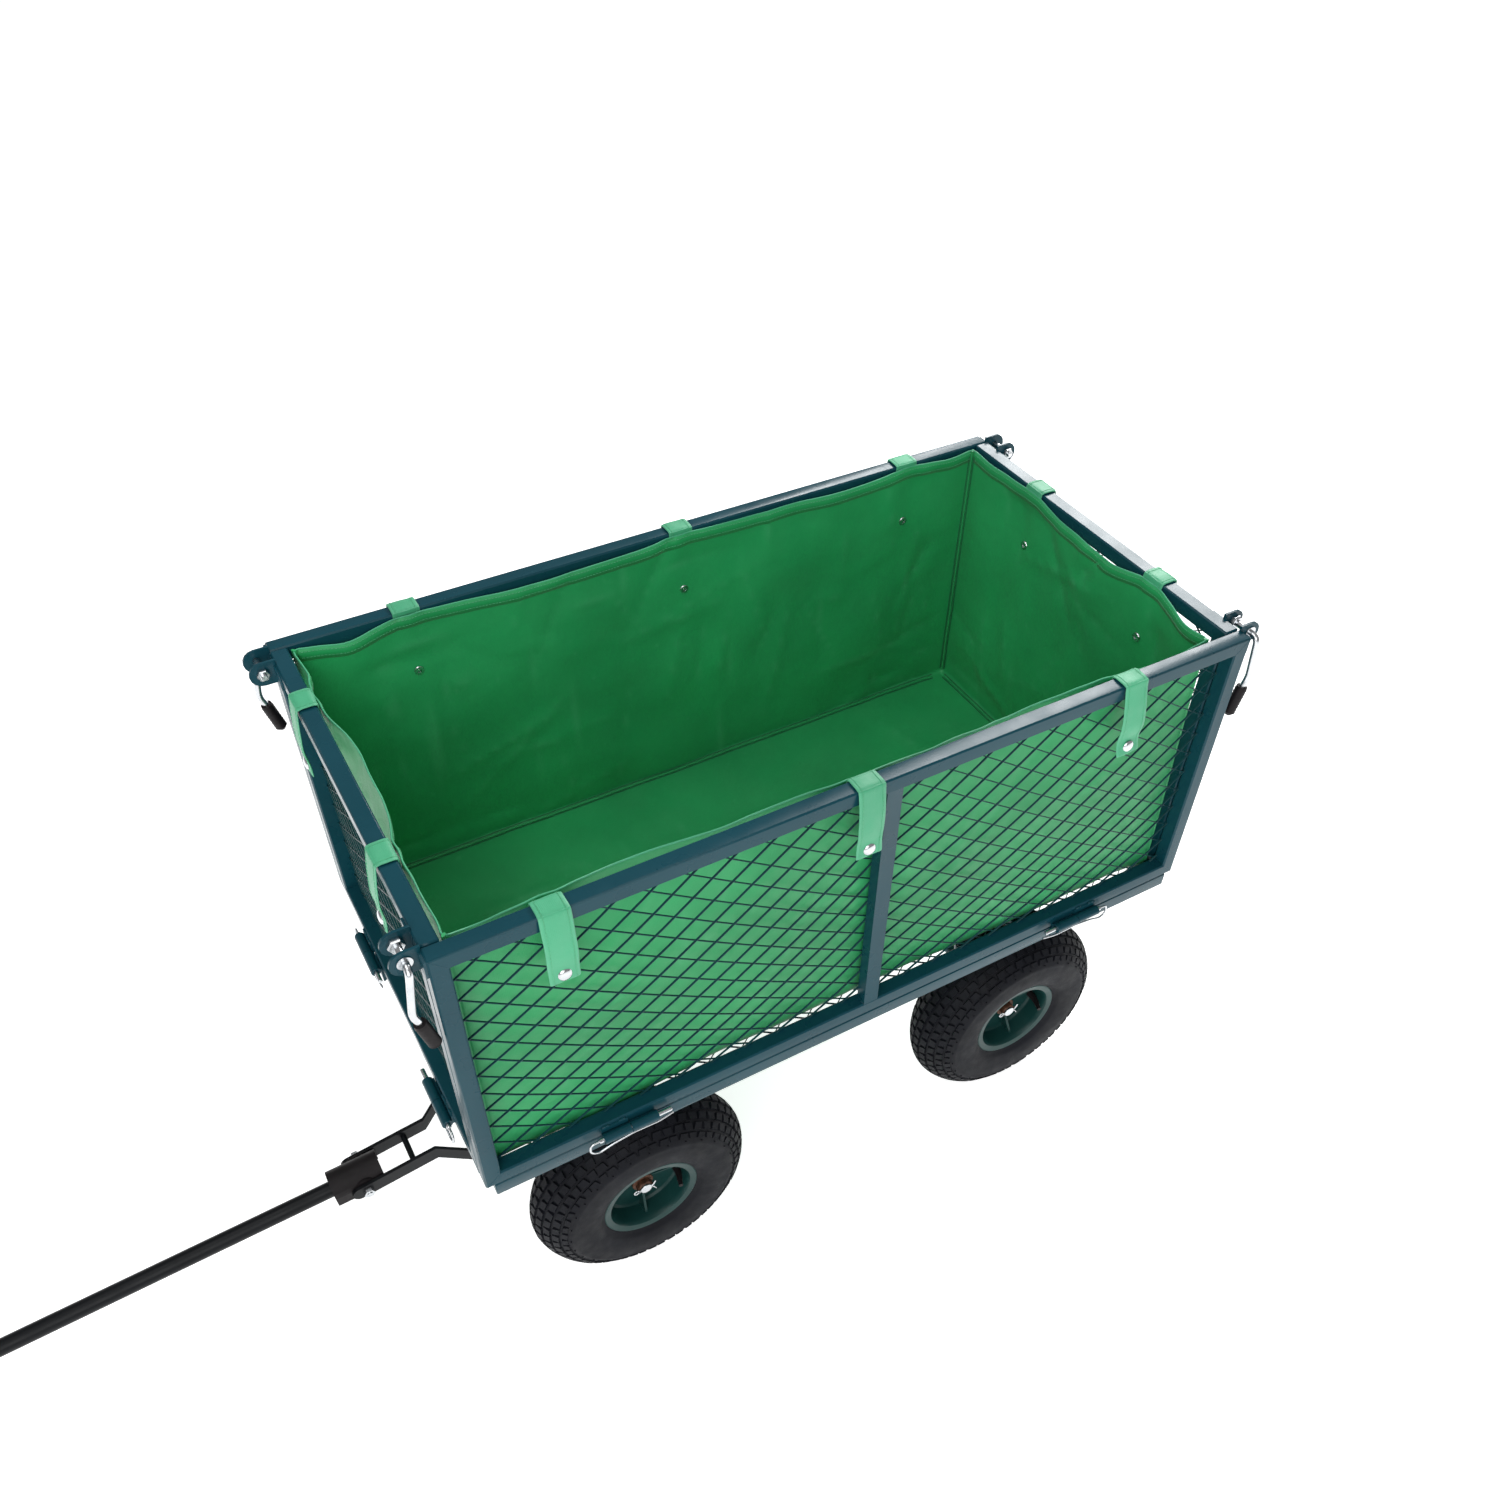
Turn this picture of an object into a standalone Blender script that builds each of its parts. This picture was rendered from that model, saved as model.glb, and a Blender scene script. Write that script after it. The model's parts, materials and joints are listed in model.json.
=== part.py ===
"""Four-wheeled mesh cart with fold-down sides, a lift-out liner and a tow handle.

Metres, +Z up.  The tow end faces -X, the cart's width is along Y, the tyres stand on z = 0.
"""
import math

import bmesh
import bpy
from mathutils import Matrix, Vector

# ---------------------------------------------------------------- driving sizes
SHIFT_X = 0.37327            # cart centre to the middle of the whole length
CART_LEN = 1.000            # over the long side panels
CART_WID = 0.536            # over the long side panels
RAIL_LOW = 0.3225           # underside of the bed rails above the ground
BED_RAIL = 0.0205           # height of a bed rail
BED_INSET = 0.010           # bed rails stop this far short of the panels' ends
TUBE = 0.020                # panel tube, square
JOINT_GAP = 0.0005          # between a panel and what it stands beside
TOP = 0.7386                # top of the panels' rails
SHEET = 0.002               # thickness of a mesh infill sheet
SKIN = 0.0003               # clearance round an infill sheet

HINGE_OUT = 0.0085          # hinge axis outside a panel's outer face
HINGE_UP = 0.0265           # hinge axis above the underside of the bed rails
KNUCKLE_R = 0.0065
KNUCKLE_LEN = 0.034
PIN_R = 0.0031
PIN_CLEAR = 0.0002          # radial, in the hinge barrels
BORE_CLEAR = 0.0001         # radial, all running fits
HINGE_X = (-0.327, 0.325)   # hinge centres along a long side
HINGE_Y = (-0.137, 0.118)   # hinge centres along an end

EAR_T = 0.003
EAR_R = 0.015               # rounded end of a latch ear
EAR_UP = 0.0095             # centre of the ears below the top of the rails
EAR_LONG = 0.0195           # a long panel's ear: its inner face, from the panel's outer face
EAR_END = 0.0223            # an end panel's ear: its outer face, in from the end panel's end
ROD_R = 0.004
ROD_OUT = 0.0155            # latch rod's axis beyond the end panel's face
ROD_DOWN = 0.0078           # latch rod's axis below the top of the rails
CRANK_DROP = 0.060

WHEEL_R = 0.147
WHEEL_Y = 0.2245            # wheel's middle plane
TYRE_HALF = 0.048
FLANGE = 0.0385             # bead seat's outer edge from the wheel's middle plane
HUB_OUT = 0.0130             # hub sleeve's outer end from the wheel's middle plane
PLATE_Z = 0.285             # underside of the kingpin housing
FRONT_X = -0.3043           # front axle, in cart coordinates
REAR_X = 0.2735
AXLE_R = 0.008
HUB_R = 0.013

FORK_PIVOT = (-0.612, 0.0705)
TUBE_R = 0.011
SHAFT_LEN = 0.560
SHAFT_TILT = math.radians(3.1)

FABRIC = 0.002
STRAP_WIDE = 0.034
STRAPS = {
    "near": (-0.377, -0.027, 0.325),
    "far": (-0.340, 0.020, 0.365),
    "front": (-0.118, 0.144),
    "rear": (-0.122, 0.113),
}

HALF_L = CART_LEN / 2
HALF_W = CART_WID / 2
PANEL_LOW = RAIL_LOW + BED_RAIL + JOINT_GAP
HINGE_Z = RAIL_LOW + HINGE_UP
ROD_Z = TOP - ROD_DOWN
ROUND = 20
TYRE_STEPS = 28
RIM_STEPS = 20


# ---------------------------------------------------------------- mesh helpers
def place(name, bm, origin=(0, 0, 0)):
    """Turn a bmesh drawn in cart coordinates into a node whose origin is `origin`."""
    bmesh.ops.remove_doubles(bm, verts=bm.verts, dist=1e-6)
    bmesh.ops.recalc_face_normals(bm, faces=bm.faces)
    bmesh.ops.translate(bm, verts=bm.verts, vec=-Vector(origin))
    mesh = bpy.data.meshes.new(name)
    bm.to_mesh(mesh)
    bm.free()
    obj = bpy.data.objects.new(name, mesh)
    obj.location = Vector(origin) + Vector((SHIFT_X, 0, 0))
    bpy.context.scene.collection.objects.link(obj)
    return obj


def box(x0, x1, y0, y1, z0, z1):
    bm = bmesh.new()
    bmesh.ops.create_cube(bm, size=1.0)
    bmesh.ops.scale(bm, verts=bm.verts, vec=(x1 - x0, y1 - y0, z1 - z0))
    mid = ((x0 + x1) / 2, (y0 + y1) / 2, (z0 + z1) / 2)
    bmesh.ops.translate(bm, verts=bm.verts, vec=mid)
    return bm


def rod(start, end, radius, sides=ROUND):
    """Solid cylinder from start to end."""
    start = Vector(start)
    end = Vector(end)
    turn = (end - start).to_track_quat("Z", "Y").to_matrix().to_4x4()
    bm = bmesh.new()
    bmesh.ops.create_cone(
        bm, cap_ends=True, segments=sides, radius1=radius, radius2=radius,
        depth=(end - start).length,
        matrix=Matrix.Translation((start + end) / 2) @ turn,
    )
    return bm


def prism(outline, axis, low, high):
    """Extrude a closed outline along a row axis; outline points are the other two axes in order."""
    order = {"x": (1, 2, 0), "y": (0, 2, 1), "z": (0, 1, 2)}[axis]
    bm = bmesh.new()
    rings = []
    for level in (low, high):
        ring = []
        for a, b in outline:
            point = [0.0, 0.0, 0.0]
            point[order[0]] = a
            point[order[1]] = b
            point[order[2]] = level
            ring.append(bm.verts.new(point))
        rings.append(ring)
    count = len(outline)
    for i in range(count):
        j = (i + 1) % count
        bm.faces.new((rings[0][i], rings[0][j], rings[1][j], rings[1][i]))
    bm.faces.new(rings[0])
    bm.faces.new(rings[1])
    bmesh.ops.recalc_face_normals(bm, faces=bm.faces)
    return bm


def revolve(profile, centre, steps, axis="y"):
    """Turn a closed (radius, offset) profile about a line through centre along Y or Z."""
    bm = bmesh.new()
    rings = []
    for k in range(steps):
        a = 2 * math.pi * k / steps
        ring = []
        for r, s in profile:
            if axis == "y":
                point = (r * math.cos(a), s, r * math.sin(a))
            else:
                point = (r * math.cos(a), r * math.sin(a), s)
            ring.append(bm.verts.new(Vector(centre) + Vector(point)))
        rings.append(ring)
    count = len(profile)
    for k in range(steps):
        here = rings[k]
        after = rings[(k + 1) % steps]
        for i in range(count):
            j = (i + 1) % count
            bm.faces.new((here[i], here[j], after[j], after[i]))
    bmesh.ops.recalc_face_normals(bm, faces=bm.faces)
    return bm


def sweep(points, radius, sides=12):
    """Round bar along a polyline, mitred at the bends and capped."""
    points = [Vector(p) for p in points]
    bm = bmesh.new()
    rings = []
    side = None
    for i, here in enumerate(points):
        before = (here - points[i - 1]).normalized() if i else None
        after = (points[i + 1] - here).normalized() if i + 1 < len(points) else None
        along = (before or after) + (after or before)
        along.normalize()
        if side is None:
            side = along.orthogonal().normalized()
        side = (side - along * side.dot(along)).normalized()
        other = along.cross(side)
        if before and after:
            bend = (after - before)
            stretch = 1.0 / max(0.5, along.dot(after))
        else:
            bend = Vector((0, 0, 0))
            stretch = 1.0
        ring = []
        for k in range(sides):
            a = 2 * math.pi * k / sides
            arm = side * math.cos(a) + other * math.sin(a)
            if bend.length > 1e-6:
                b = bend.normalized()
                arm += b * arm.dot(b) * (stretch - 1.0)
            ring.append(bm.verts.new(here + arm * radius))
        rings.append(ring)
    for one, two in zip(rings, rings[1:]):
        for k in range(sides):
            j = (k + 1) % sides
            bm.faces.new((one[k], one[j], two[j], two[k]))
    bm.faces.new(rings[0])
    bm.faces.new(rings[-1])
    bmesh.ops.recalc_face_normals(bm, faces=bm.faces)
    return bm


def arc(centre, radius, start, end, steps, plane="xz"):
    """Points of an arc, in degrees, in one of the row planes."""
    out = []
    for k in range(steps + 1):
        a = math.radians(start + (end - start) * k / steps)
        u = radius * math.cos(a)
        v = radius * math.sin(a)
        offset = {"xz": (u, 0, v), "yz": (0, u, v), "xy": (u, v, 0)}[plane]
        out.append(Vector(centre) + Vector(offset))
    return out


def lattice(a_lines, b_lines, filled, axis, low, high):
    """Plate with openings: a grid of cells, `filled(i, j)` says which are metal."""
    order = {"x": (1, 2, 0), "y": (0, 2, 1), "z": (0, 1, 2)}[axis]
    bm = bmesh.new()
    grid = {}

    def vert(i, j, level):
        if (i, j, level) not in grid:
            point = [0.0, 0.0, 0.0]
            point[order[0]] = a_lines[i]
            point[order[1]] = b_lines[j]
            point[order[2]] = (low, high)[level]
            grid[(i, j, level)] = bm.verts.new(point)
        return grid[(i, j, level)]

    def metal(i, j):
        inside = 0 <= i < len(a_lines) - 1 and 0 <= j < len(b_lines) - 1
        return inside and filled(i, j)

    for i in range(len(a_lines) - 1):
        for j in range(len(b_lines) - 1):
            if not metal(i, j):
                continue
            for level in (0, 1):
                bm.faces.new([vert(i, j, level), vert(i + 1, j, level),
                              vert(i + 1, j + 1, level), vert(i, j + 1, level)])
            sides = (
                ((i, j), (i + 1, j), (i, j - 1)),
                ((i + 1, j), (i + 1, j + 1), (i + 1, j)),
                ((i + 1, j + 1), (i, j + 1), (i, j + 1)),
                ((i, j + 1), (i, j), (i - 1, j)),
            )
            for one, two, beyond in sides:
                if not metal(*beyond):
                    bm.faces.new([vert(*one, 0), vert(*two, 0), vert(*two, 1), vert(*one, 1)])
    bmesh.ops.recalc_face_normals(bm, faces=bm.faces)
    return bm


def soften(bm, width, segments=1):
    """Break the long edges of a square tube."""
    edges = [e for e in bm.edges if e.is_convex and e.calc_face_angle() > 0.7]
    bmesh.ops.bevel(bm, geom=edges, offset=width, segments=segments, profile=0.5,
                    affect="EDGES", clamp_overlap=True)
    return bm


def solid(bm):
    """Loose object that a boolean can use."""
    mesh = bpy.data.meshes.new("loose")
    bmesh.ops.recalc_face_normals(bm, faces=bm.faces)
    bm.to_mesh(mesh)
    bm.free()
    obj = bpy.data.objects.new("loose", mesh)
    bpy.context.scene.collection.objects.link(obj)
    return obj


def combine(first, others, operation):
    """Boolean `first` with each of `others` in turn; returns a bmesh."""
    base = solid(first)
    for bm in others:
        tool = solid(bm)
        mod = base.modifiers.new("join", "BOOLEAN")
        mod.operation = operation
        mod.solver = "EXACT"
        mod.object = tool
        view = bpy.context.evaluated_depsgraph_get()
        view.update()
        mesh = bpy.data.meshes.new_from_object(base.evaluated_get(view))
        base.modifiers.remove(mod)
        base.data = mesh
        bpy.data.objects.remove(tool)
    out = bmesh.new()
    out.from_mesh(base.data)
    bpy.data.objects.remove(base)
    return out


def fuse(first, *others):
    return combine(first, others, "UNION")


def cut(first, *others):
    return combine(first, others, "DIFFERENCE")


# ---------------------------------------------------------------- side-dependent maps
def turn_to(side):
    """Matrix from the drawing frame of a panel to cart coordinates.

    A panel is drawn with its length along X, its outer face towards -Y and z unchanged;
    y = 0 is its outer face.
    """
    if side == "near":
        return Matrix.Translation((0, -HALF_W, 0))
    if side == "far":
        return Matrix.Translation((0, HALF_W, 0)) @ Matrix.Rotation(math.pi, 4, "Z")
    if side == "front":
        return Matrix.Translation((-HALF_L, 0, 0)) @ Matrix.Rotation(-math.pi / 2, 4, "Z")
    return Matrix.Translation((HALF_L, 0, 0)) @ Matrix.Rotation(math.pi / 2, 4, "Z")


def hinge_spots(side):
    """Hinge centres along the panel's own length, in its drawing frame."""
    if side == "near":
        return HINGE_X
    if side == "far":
        return tuple(-x for x in HINGE_X)
    if side == "front":
        return tuple(-y for y in HINGE_Y)
    return HINGE_Y


def half_length(side):
    return HALF_L if side in ("near", "far") else HALF_W - TUBE - 2 * JOINT_GAP


def hinge_origin(side):
    return turn_to(side) @ Vector((0, -HINGE_OUT, HINGE_Z))


# ---------------------------------------------------------------- hinges
def knuckle(spot, hand, up):
    """Half a barrel hinge in the drawing frame: a leaf on the face and a bored barrel.

    hand -1 or 1 is the end of the hinge it fills, up is 1 for the panel's leaf, -1 for the bed's.
    """
    gap = 0.0004
    near_end = spot + hand * gap
    far_end = spot + hand * (gap + KNUCKLE_LEN)
    low = min(near_end, far_end)
    high = max(near_end, far_end)
    barrel = rod((low, -HINGE_OUT, HINGE_Z), (high, -HINGE_OUT, HINGE_Z), KNUCKLE_R, 12)
    web = box(low + 0.0006, high - 0.0006, -HINGE_OUT, 0.0005, HINGE_Z - 0.0015, HINGE_Z + 0.0015)
    if up > 0:
        leaf = box(low + 0.0002, high - 0.0002, -0.0025, 0.001, HINGE_Z - 0.0022, HINGE_Z + 0.011)
        return barrel, fuse(leaf, web)
    web = box(low + 0.0006, high - 0.0006, -HINGE_OUT, -0.0006, HINGE_Z - 0.0015, HINGE_Z + 0.0012)
    leaf = box(low + 0.0002, high - 0.0002, -0.0025, 0.001, RAIL_LOW + 0.0045, RAIL_LOW + 0.0195)
    neck = box(low + 0.0004, high - 0.0004, -0.0023, -0.0004, RAIL_LOW + 0.010, HINGE_Z + 0.0006)
    return barrel, fuse(leaf, neck, web)


def knuckle_bore(spot):
    end = KNUCKLE_LEN + 0.01
    return rod((spot - end, -HINGE_OUT, HINGE_Z), (spot + end, -HINGE_OUT, HINGE_Z),
               PIN_R + PIN_CLEAR, 10)


def moved(bm, matrix):
    bmesh.ops.transform(bm, matrix=matrix, verts=bm.verts)
    return bm


def pin_hand(side, spot):
    """Which end of a hinge the pin is pushed in from: the end nearest the cart's corner."""
    return 1 if spot > 0 else -1


def hinge_pin(name, side, spot):
    """Bent-wire safety pin: a shank in the barrels and a spring return under them."""
    hand = pin_hand(side, spot)
    mid = Vector((spot, -HINGE_OUT, HINGE_Z))
    reach = KNUCKLE_LEN + 0.006
    tail = reach + 0.012
    under = -KNUCKLE_R - 0.0050
    wire = 0.0014
    shank = rod(mid - Vector((hand * tail, 0, 0)), mid + Vector((hand * reach, 0, 0)), PIN_R, 10)
    bow = sweep([
        mid + Vector((hand * (reach - 0.004), 0, 0)),
        mid + Vector((hand * (reach + 0.006), 0, -0.0005)),
        mid + Vector((hand * (reach + 0.011), -0.001, -0.005)),
        mid + Vector((hand * (reach + 0.006), -0.002, under - 0.004)),
        mid + Vector((hand * (reach - 0.012), -0.002, under - 0.001)),
        mid + Vector((0, -0.002, under + 0.0015)),
        mid + Vector((-hand * (reach - 0.004), -0.002, under + 0.001)),
        mid + Vector((-hand * (reach + 0.004), -0.001, -0.0098)),
        mid + Vector((-hand * (tail + 0.002), 0, -0.0088)),
    ], wire, 5)
    matrix = turn_to(side)
    return place(name, moved(fuse(shank, bow), matrix), matrix @ mid)


# ---------------------------------------------------------------- bed
def bed_frame():
    """Welded bed: four rails, cross members, the hinge halves and the kingpin housing."""
    lx = HALF_L - BED_INSET
    ly = HALF_W
    ys = [-ly, -ly + TUBE, ly - TUBE, ly]
    rims = lattice([-lx, -lx + TUBE, lx - TUBE, lx], ys, lambda i, j: (i, j) != (1, 1), "z",
                   RAIL_LOW, RAIL_LOW + BED_RAIL)
    inner = ly - TUBE / 2
    bars = [box(x - half, x + half, -inner, inner, RAIL_LOW + 0.0006, RAIL_LOW + BED_RAIL - 0.004)
            for x, half in ((FRONT_X, 0.028), (REAR_X, 0.020))]
    frame = fuse(soften(rims, 0.0012), *bars)
    housing = rod((FRONT_X, 0, PLATE_Z), (FRONT_X, 0, RAIL_LOW + 0.002), 0.034)
    flange = rod((FRONT_X, 0, PLATE_Z), (FRONT_X, 0, PLATE_Z + 0.006), 0.048)
    frame = fuse(frame, housing, flange)
    for side in ("near", "far", "front", "rear"):
        reach = 0 if side in ("near", "far") else BED_INSET
        for spot in hinge_spots(side):
            parts = knuckle(spot, -pin_hand(side, spot), -1)
            if reach:
                parts += (bed_leaf_packer(spot, -pin_hand(side, spot)),)
            frame = fuse(frame, *[moved(p, turn_to(side)) for p in parts])
    bores = [moved(knuckle_bore(s), turn_to(side))
             for side in ("near", "far", "front", "rear") for s in hinge_spots(side)]
    king = rod((FRONT_X, 0, PLATE_Z - 0.012), (FRONT_X, 0, RAIL_LOW + 0.03), AXLE_R + BORE_CLEAR, 24)
    return place("bed_frame", cut(frame, king, *bores))


def bed_leaf_packer(spot, hand):
    """Block that carries an end hinge's lower leaf out from the inset bed rail."""
    low = min(spot + hand * 0.0004, spot + hand * KNUCKLE_LEN)
    high = max(spot + hand * 0.0004, spot + hand * KNUCKLE_LEN)
    return box(low + 0.001, high - 0.001, -0.0015, BED_INSET + 0.004, RAIL_LOW + 0.005,
               RAIL_LOW + BED_RAIL - 0.0025)


def bed_floor():
    """Mesh floor laid between the rails on the cross members."""
    lx = HALF_L - BED_INSET - TUBE - SKIN
    ly = HALF_W - TUBE - SKIN
    low = RAIL_LOW + BED_RAIL - 0.004 + SKIN
    return place("bed_floor_mesh", box(-lx, lx, -ly, ly, low, low + SHEET))


# ---------------------------------------------------------------- panels
def panel_outline(side):
    """Frame of a fold-down panel with its hinge halves and latch ears, drawn flat."""
    h = half_length(side)
    zs = [PANEL_LOW, PANEL_LOW + TUBE, TOP - TUBE, TOP]
    ring = lattice([-h, -h + TUBE, h - TUBE, h], zs, lambda i, j: (i, j) != (1, 1), "y", 0, TUBE)
    frame = soften(ring, 0.0018)
    if side in ("near", "far"):
        mid = 0.005 if side == "near" else -0.005
        post = box(mid - TUBE / 2, mid + TUBE / 2, 0.0004, TUBE - 0.0045,
                   PANEL_LOW + TUBE - 0.002, TOP - TUBE + 0.002)
        frame = fuse(frame, post)
    for spot in hinge_spots(side):
        frame = fuse(frame, *knuckle(spot, pin_hand(side, spot), 1))
    for hand in (-1, 1):
        frame = fuse(frame, ear(side, hand))
    bores = [knuckle_bore(s) for s in hinge_spots(side)]
    if side in ("near", "far"):
        for hand in (-1, 1):
            x = hand * (HALF_L + ROD_OUT)
            bores.append(rod((x, 0, ROD_Z), (x, 0.03, ROD_Z), ROD_R + BORE_CLEAR, 20))
    return cut(frame, *bores)


def ear(side, hand):
    """Latch bracket: a rounded ear standing out past the corner and the leg it is welded by."""
    mid = TOP - EAR_UP
    low = mid - EAR_R
    high = mid + EAR_R
    if side in ("near", "far"):
        tip = (hand * (HALF_L + ROD_OUT), 0, mid)
        root = hand * (HALF_L - 0.001)
        ends = arc(tip, EAR_R, -90, 90, 8) if hand > 0 else arc(tip, EAR_R, 90, 270, 8)
        outline = [(p.x, p.z) for p in ends]
        outline += [(root, high), (root, low)] if hand > 0 else [(root, low), (root, high)]
        plate = prism(outline, "y", EAR_LONG - EAR_T, EAR_LONG)
        x0, x1 = sorted((root, hand * (HALF_L + 0.0025)))
        return fuse(plate, box(x0, x1, 0.0025, EAR_LONG - 0.0004, low + 0.0003, TOP - 0.0022))
    edge = hand * (half_length(side) - EAR_END)
    inner = edge - hand * EAR_T
    outline = [(p.y, p.z) for p in arc((0, -ROD_OUT, mid), EAR_R, 90, 270, 8, "yz")]
    outline += [(0.001, low), (0.001, high)]
    plate = prism(outline, "x", min(edge, inner), max(edge, inner))
    x0, x1 = sorted((edge - hand * 0.0005, edge - hand * 0.0210))
    foot = box(x0, x1, -0.0025, 0.0008, low + 0.0003, TOP - 0.0022)
    stud = rod((edge - hand * 0.001, -ROD_OUT, ROD_Z),
               (hand * (half_length(side) - 0.0002), -ROD_OUT, ROD_Z), ROD_R, 12)
    nut = rod((edge - hand * 0.001, -ROD_OUT, ROD_Z),
              (edge + hand * 0.0060, -ROD_OUT, ROD_Z), 0.0072, 6)
    return fuse(plate, foot, stud, nut)


def panel(side):
    origin = hinge_origin(side)
    place("panel_frame_" + side, moved(panel_outline(side), turn_to(side)), origin)
    h = half_length(side) - TUBE - SKIN
    sheet = box(-h, h, TUBE - 0.0042, TUBE - 0.0042 + SHEET, PANEL_LOW + TUBE + SKIN,
                TOP - TUBE - SKIN)
    place("panel_mesh_" + side, moved(sheet, turn_to(side)), origin)


# ---------------------------------------------------------------- corner latches
def latch(name, side, hand):
    """L-shaped latch rod through the long panel's ear, hanging down outside, with a sleeve grip."""
    x = hand * (HALF_L + ROD_OUT)
    inner = TUBE + 2 * JOINT_GAP - 0.0003
    out = 0.0040
    z = ROD_Z
    bend = z - CRANK_DROP
    path = [
        (x, inner, z),
        (x, out + 0.0065, z),
        (x, out + 0.0019, z - 0.0019),
        (x + hand * 0.0010, out, z - 0.0075),
        (x + hand * 0.0080, out, bend),
        (x + hand * 0.0068, out, bend - 0.0070),
        (x + hand * 0.0035, out, bend - 0.0130),
        (x - hand * 0.0025, out, bend - 0.0375),
    ]
    matrix = turn_to(side)
    origin = matrix @ Vector((x, 0, z))
    bar = sweep(path, ROD_R, 8)
    start = Vector(path[-2])
    end = Vector(path[-1])
    along = (end - start).normalized()
    grip = rod(start, end + along * 0.016, 0.0078, 12)
    hole = rod(start - along * 0.01, end + along * 0.0003, ROD_R + BORE_CLEAR, 16)
    place("latch_rod_" + name, moved(bar, matrix), origin)
    place("latch_grip_" + name, moved(cut(grip, hole), matrix), origin)


# ---------------------------------------------------------------- wheels
def tyre_profile():
    """Closed C section: rounded tread and sidewalls outside, air space open to the rim."""
    w = TYRE_HALF
    half = [
        (0.0600, FLANGE - 0.0050), (0.0660, FLANGE), (0.0760, w - 0.0030), (0.0930, w),
        (0.1090, w - 0.0025), (0.1240, w - 0.0095), (0.1375, w - 0.0215), (0.1450, 0.0120),
    ]
    outside = [(r, -y) for r, y in half] + [(WHEEL_R, 0.0)] + half[::-1]
    inside = [
        (0.0600, FLANGE - 0.0100), (0.1000, w - 0.0095), (0.1340, 0.0),
        (0.1000, -w + 0.0095), (0.0600, -FLANGE + 0.0100),
    ]
    return outside + inside


def rim_profile(out):
    """Closed section of the wheel centre: flanged barrel, dished web and hub sleeve.

    The sleeve is short towards out, where the dish is open, and long towards the cart.
    """
    f = FLANGE
    bore = AXLE_R + BORE_CLEAR
    flange = [
        (0.0460, 0.003), (0.0480, f - 0.006), (0.0590, f + 0.0022), (0.0646, f + 0.0022),
        (0.0640, f - 0.0002), (0.0505, f - 0.010),
    ]
    outer = [(bore, HUB_OUT), (HUB_R, HUB_OUT), (HUB_R, 0.006)] + flange
    inner = [(bore, f + 0.0020), (HUB_R, f + 0.0020), (HUB_R, 0.006)] + flange
    return [(r, out * s) for r, s in outer] + [(r, -out * s) for r, s in inner[::-1]]


def wheel(name, x, y):
    centre = (x, y, WHEEL_R)
    place("tyre_" + name, revolve(tyre_profile(), centre, TYRE_STEPS), centre)
    out = 1 if y > 0 else -1
    place("rim_" + name, revolve(rim_profile(out), centre, RIM_STEPS), centre)
    low = y + out * (HUB_OUT + 0.0015)
    high = y + out * (HUB_OUT + 0.0085)
    nut = prism([(x + 0.0108 * math.cos(math.radians(60 * k)),
                  WHEEL_R + 0.0108 * math.sin(math.radians(60 * k))) for k in range(6)],
                "y", min(low, high), max(low, high))
    hole = rod((x, low - 0.02, WHEEL_R), (x, low + 0.02, WHEEL_R), AXLE_R + BORE_CLEAR, 20)
    place("axle_nut_" + name, cut(nut, hole), centre)


def axle(name, x):
    end = WHEEL_Y + HUB_OUT + 0.0115
    bm = rod((x, -end, WHEEL_R), (x, end, WHEEL_R), AXLE_R)
    place(name, bm, (x, 0, WHEEL_R))


# ---------------------------------------------------------------- running gear
def axle_tube(x, reach):
    return rod((x, -reach, WHEEL_R), (x, reach, WHEEL_R), 0.014)


def axle_bore(x):
    return rod((x, -0.3, WHEEL_R), (x, 0.3, WHEEL_R), AXLE_R + BORE_CLEAR, 24)


def leg(x, y, top, spread=0.045):
    """Tapering plate from a deck down to the axle tube."""
    outline = [(x - spread, top), (x - 0.016, WHEEL_R - 0.012), (x - 0.008, WHEEL_R - 0.016),
               (x + 0.008, WHEEL_R - 0.016), (x + 0.016, WHEEL_R - 0.012), (x + spread, top)]
    return prism(outline, "y", y - 0.0025, y + 0.0025)


def rear_axle_carrier():
    """Deck plate under the bed with two legs and the rear axle tube."""
    top = RAIL_LOW - 0.0003
    deck = box(REAR_X - 0.05, REAR_X + 0.05, -0.150, 0.150, top - 0.005, top)
    legs = [leg(REAR_X, y, top - 0.002) for y in (-0.140, 0.140)]
    body = fuse(deck, *legs, axle_tube(REAR_X, 0.175))
    place("rear_axle_carrier", cut(body, axle_bore(REAR_X)), (REAR_X, 0, WHEEL_R))


def front_axle_carrier():
    """Turntable plate, legs and front axle tube; turns about the kingpin."""
    top = PLATE_Z - 0.0004
    disc = rod((FRONT_X, 0, top - 0.006), (FRONT_X, 0, top), 0.048)
    deck = box(FRONT_X - 0.04, FRONT_X + 0.04, -0.100, 0.100, top - 0.011, top - 0.005)
    legs = [leg(FRONT_X, y, top - 0.008, 0.038) for y in (-0.092, 0.092)]
    body = fuse(disc, deck, *legs, axle_tube(FRONT_X, 0.175))
    king = rod((FRONT_X, 0, top - 0.05), (FRONT_X, 0, top + 0.05), AXLE_R + BORE_CLEAR, 24)
    place("front_axle_carrier", cut(body, axle_bore(FRONT_X), king), (FRONT_X, 0, top))


def kingpin():
    top = RAIL_LOW + BED_RAIL - 0.004
    low = PLATE_Z - 0.0004 - 0.011
    head = prism([(FRONT_X + 0.013 * math.cos(math.radians(60 * k)),
                   0.013 * math.sin(math.radians(60 * k))) for k in range(6)],
                 "z", low - 0.0105, low - 0.0005)
    shank = rod((FRONT_X, 0, low - 0.002), (FRONT_X, 0, top), AXLE_R)
    place("kingpin", fuse(head, shank), (FRONT_X, 0, low))


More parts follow.
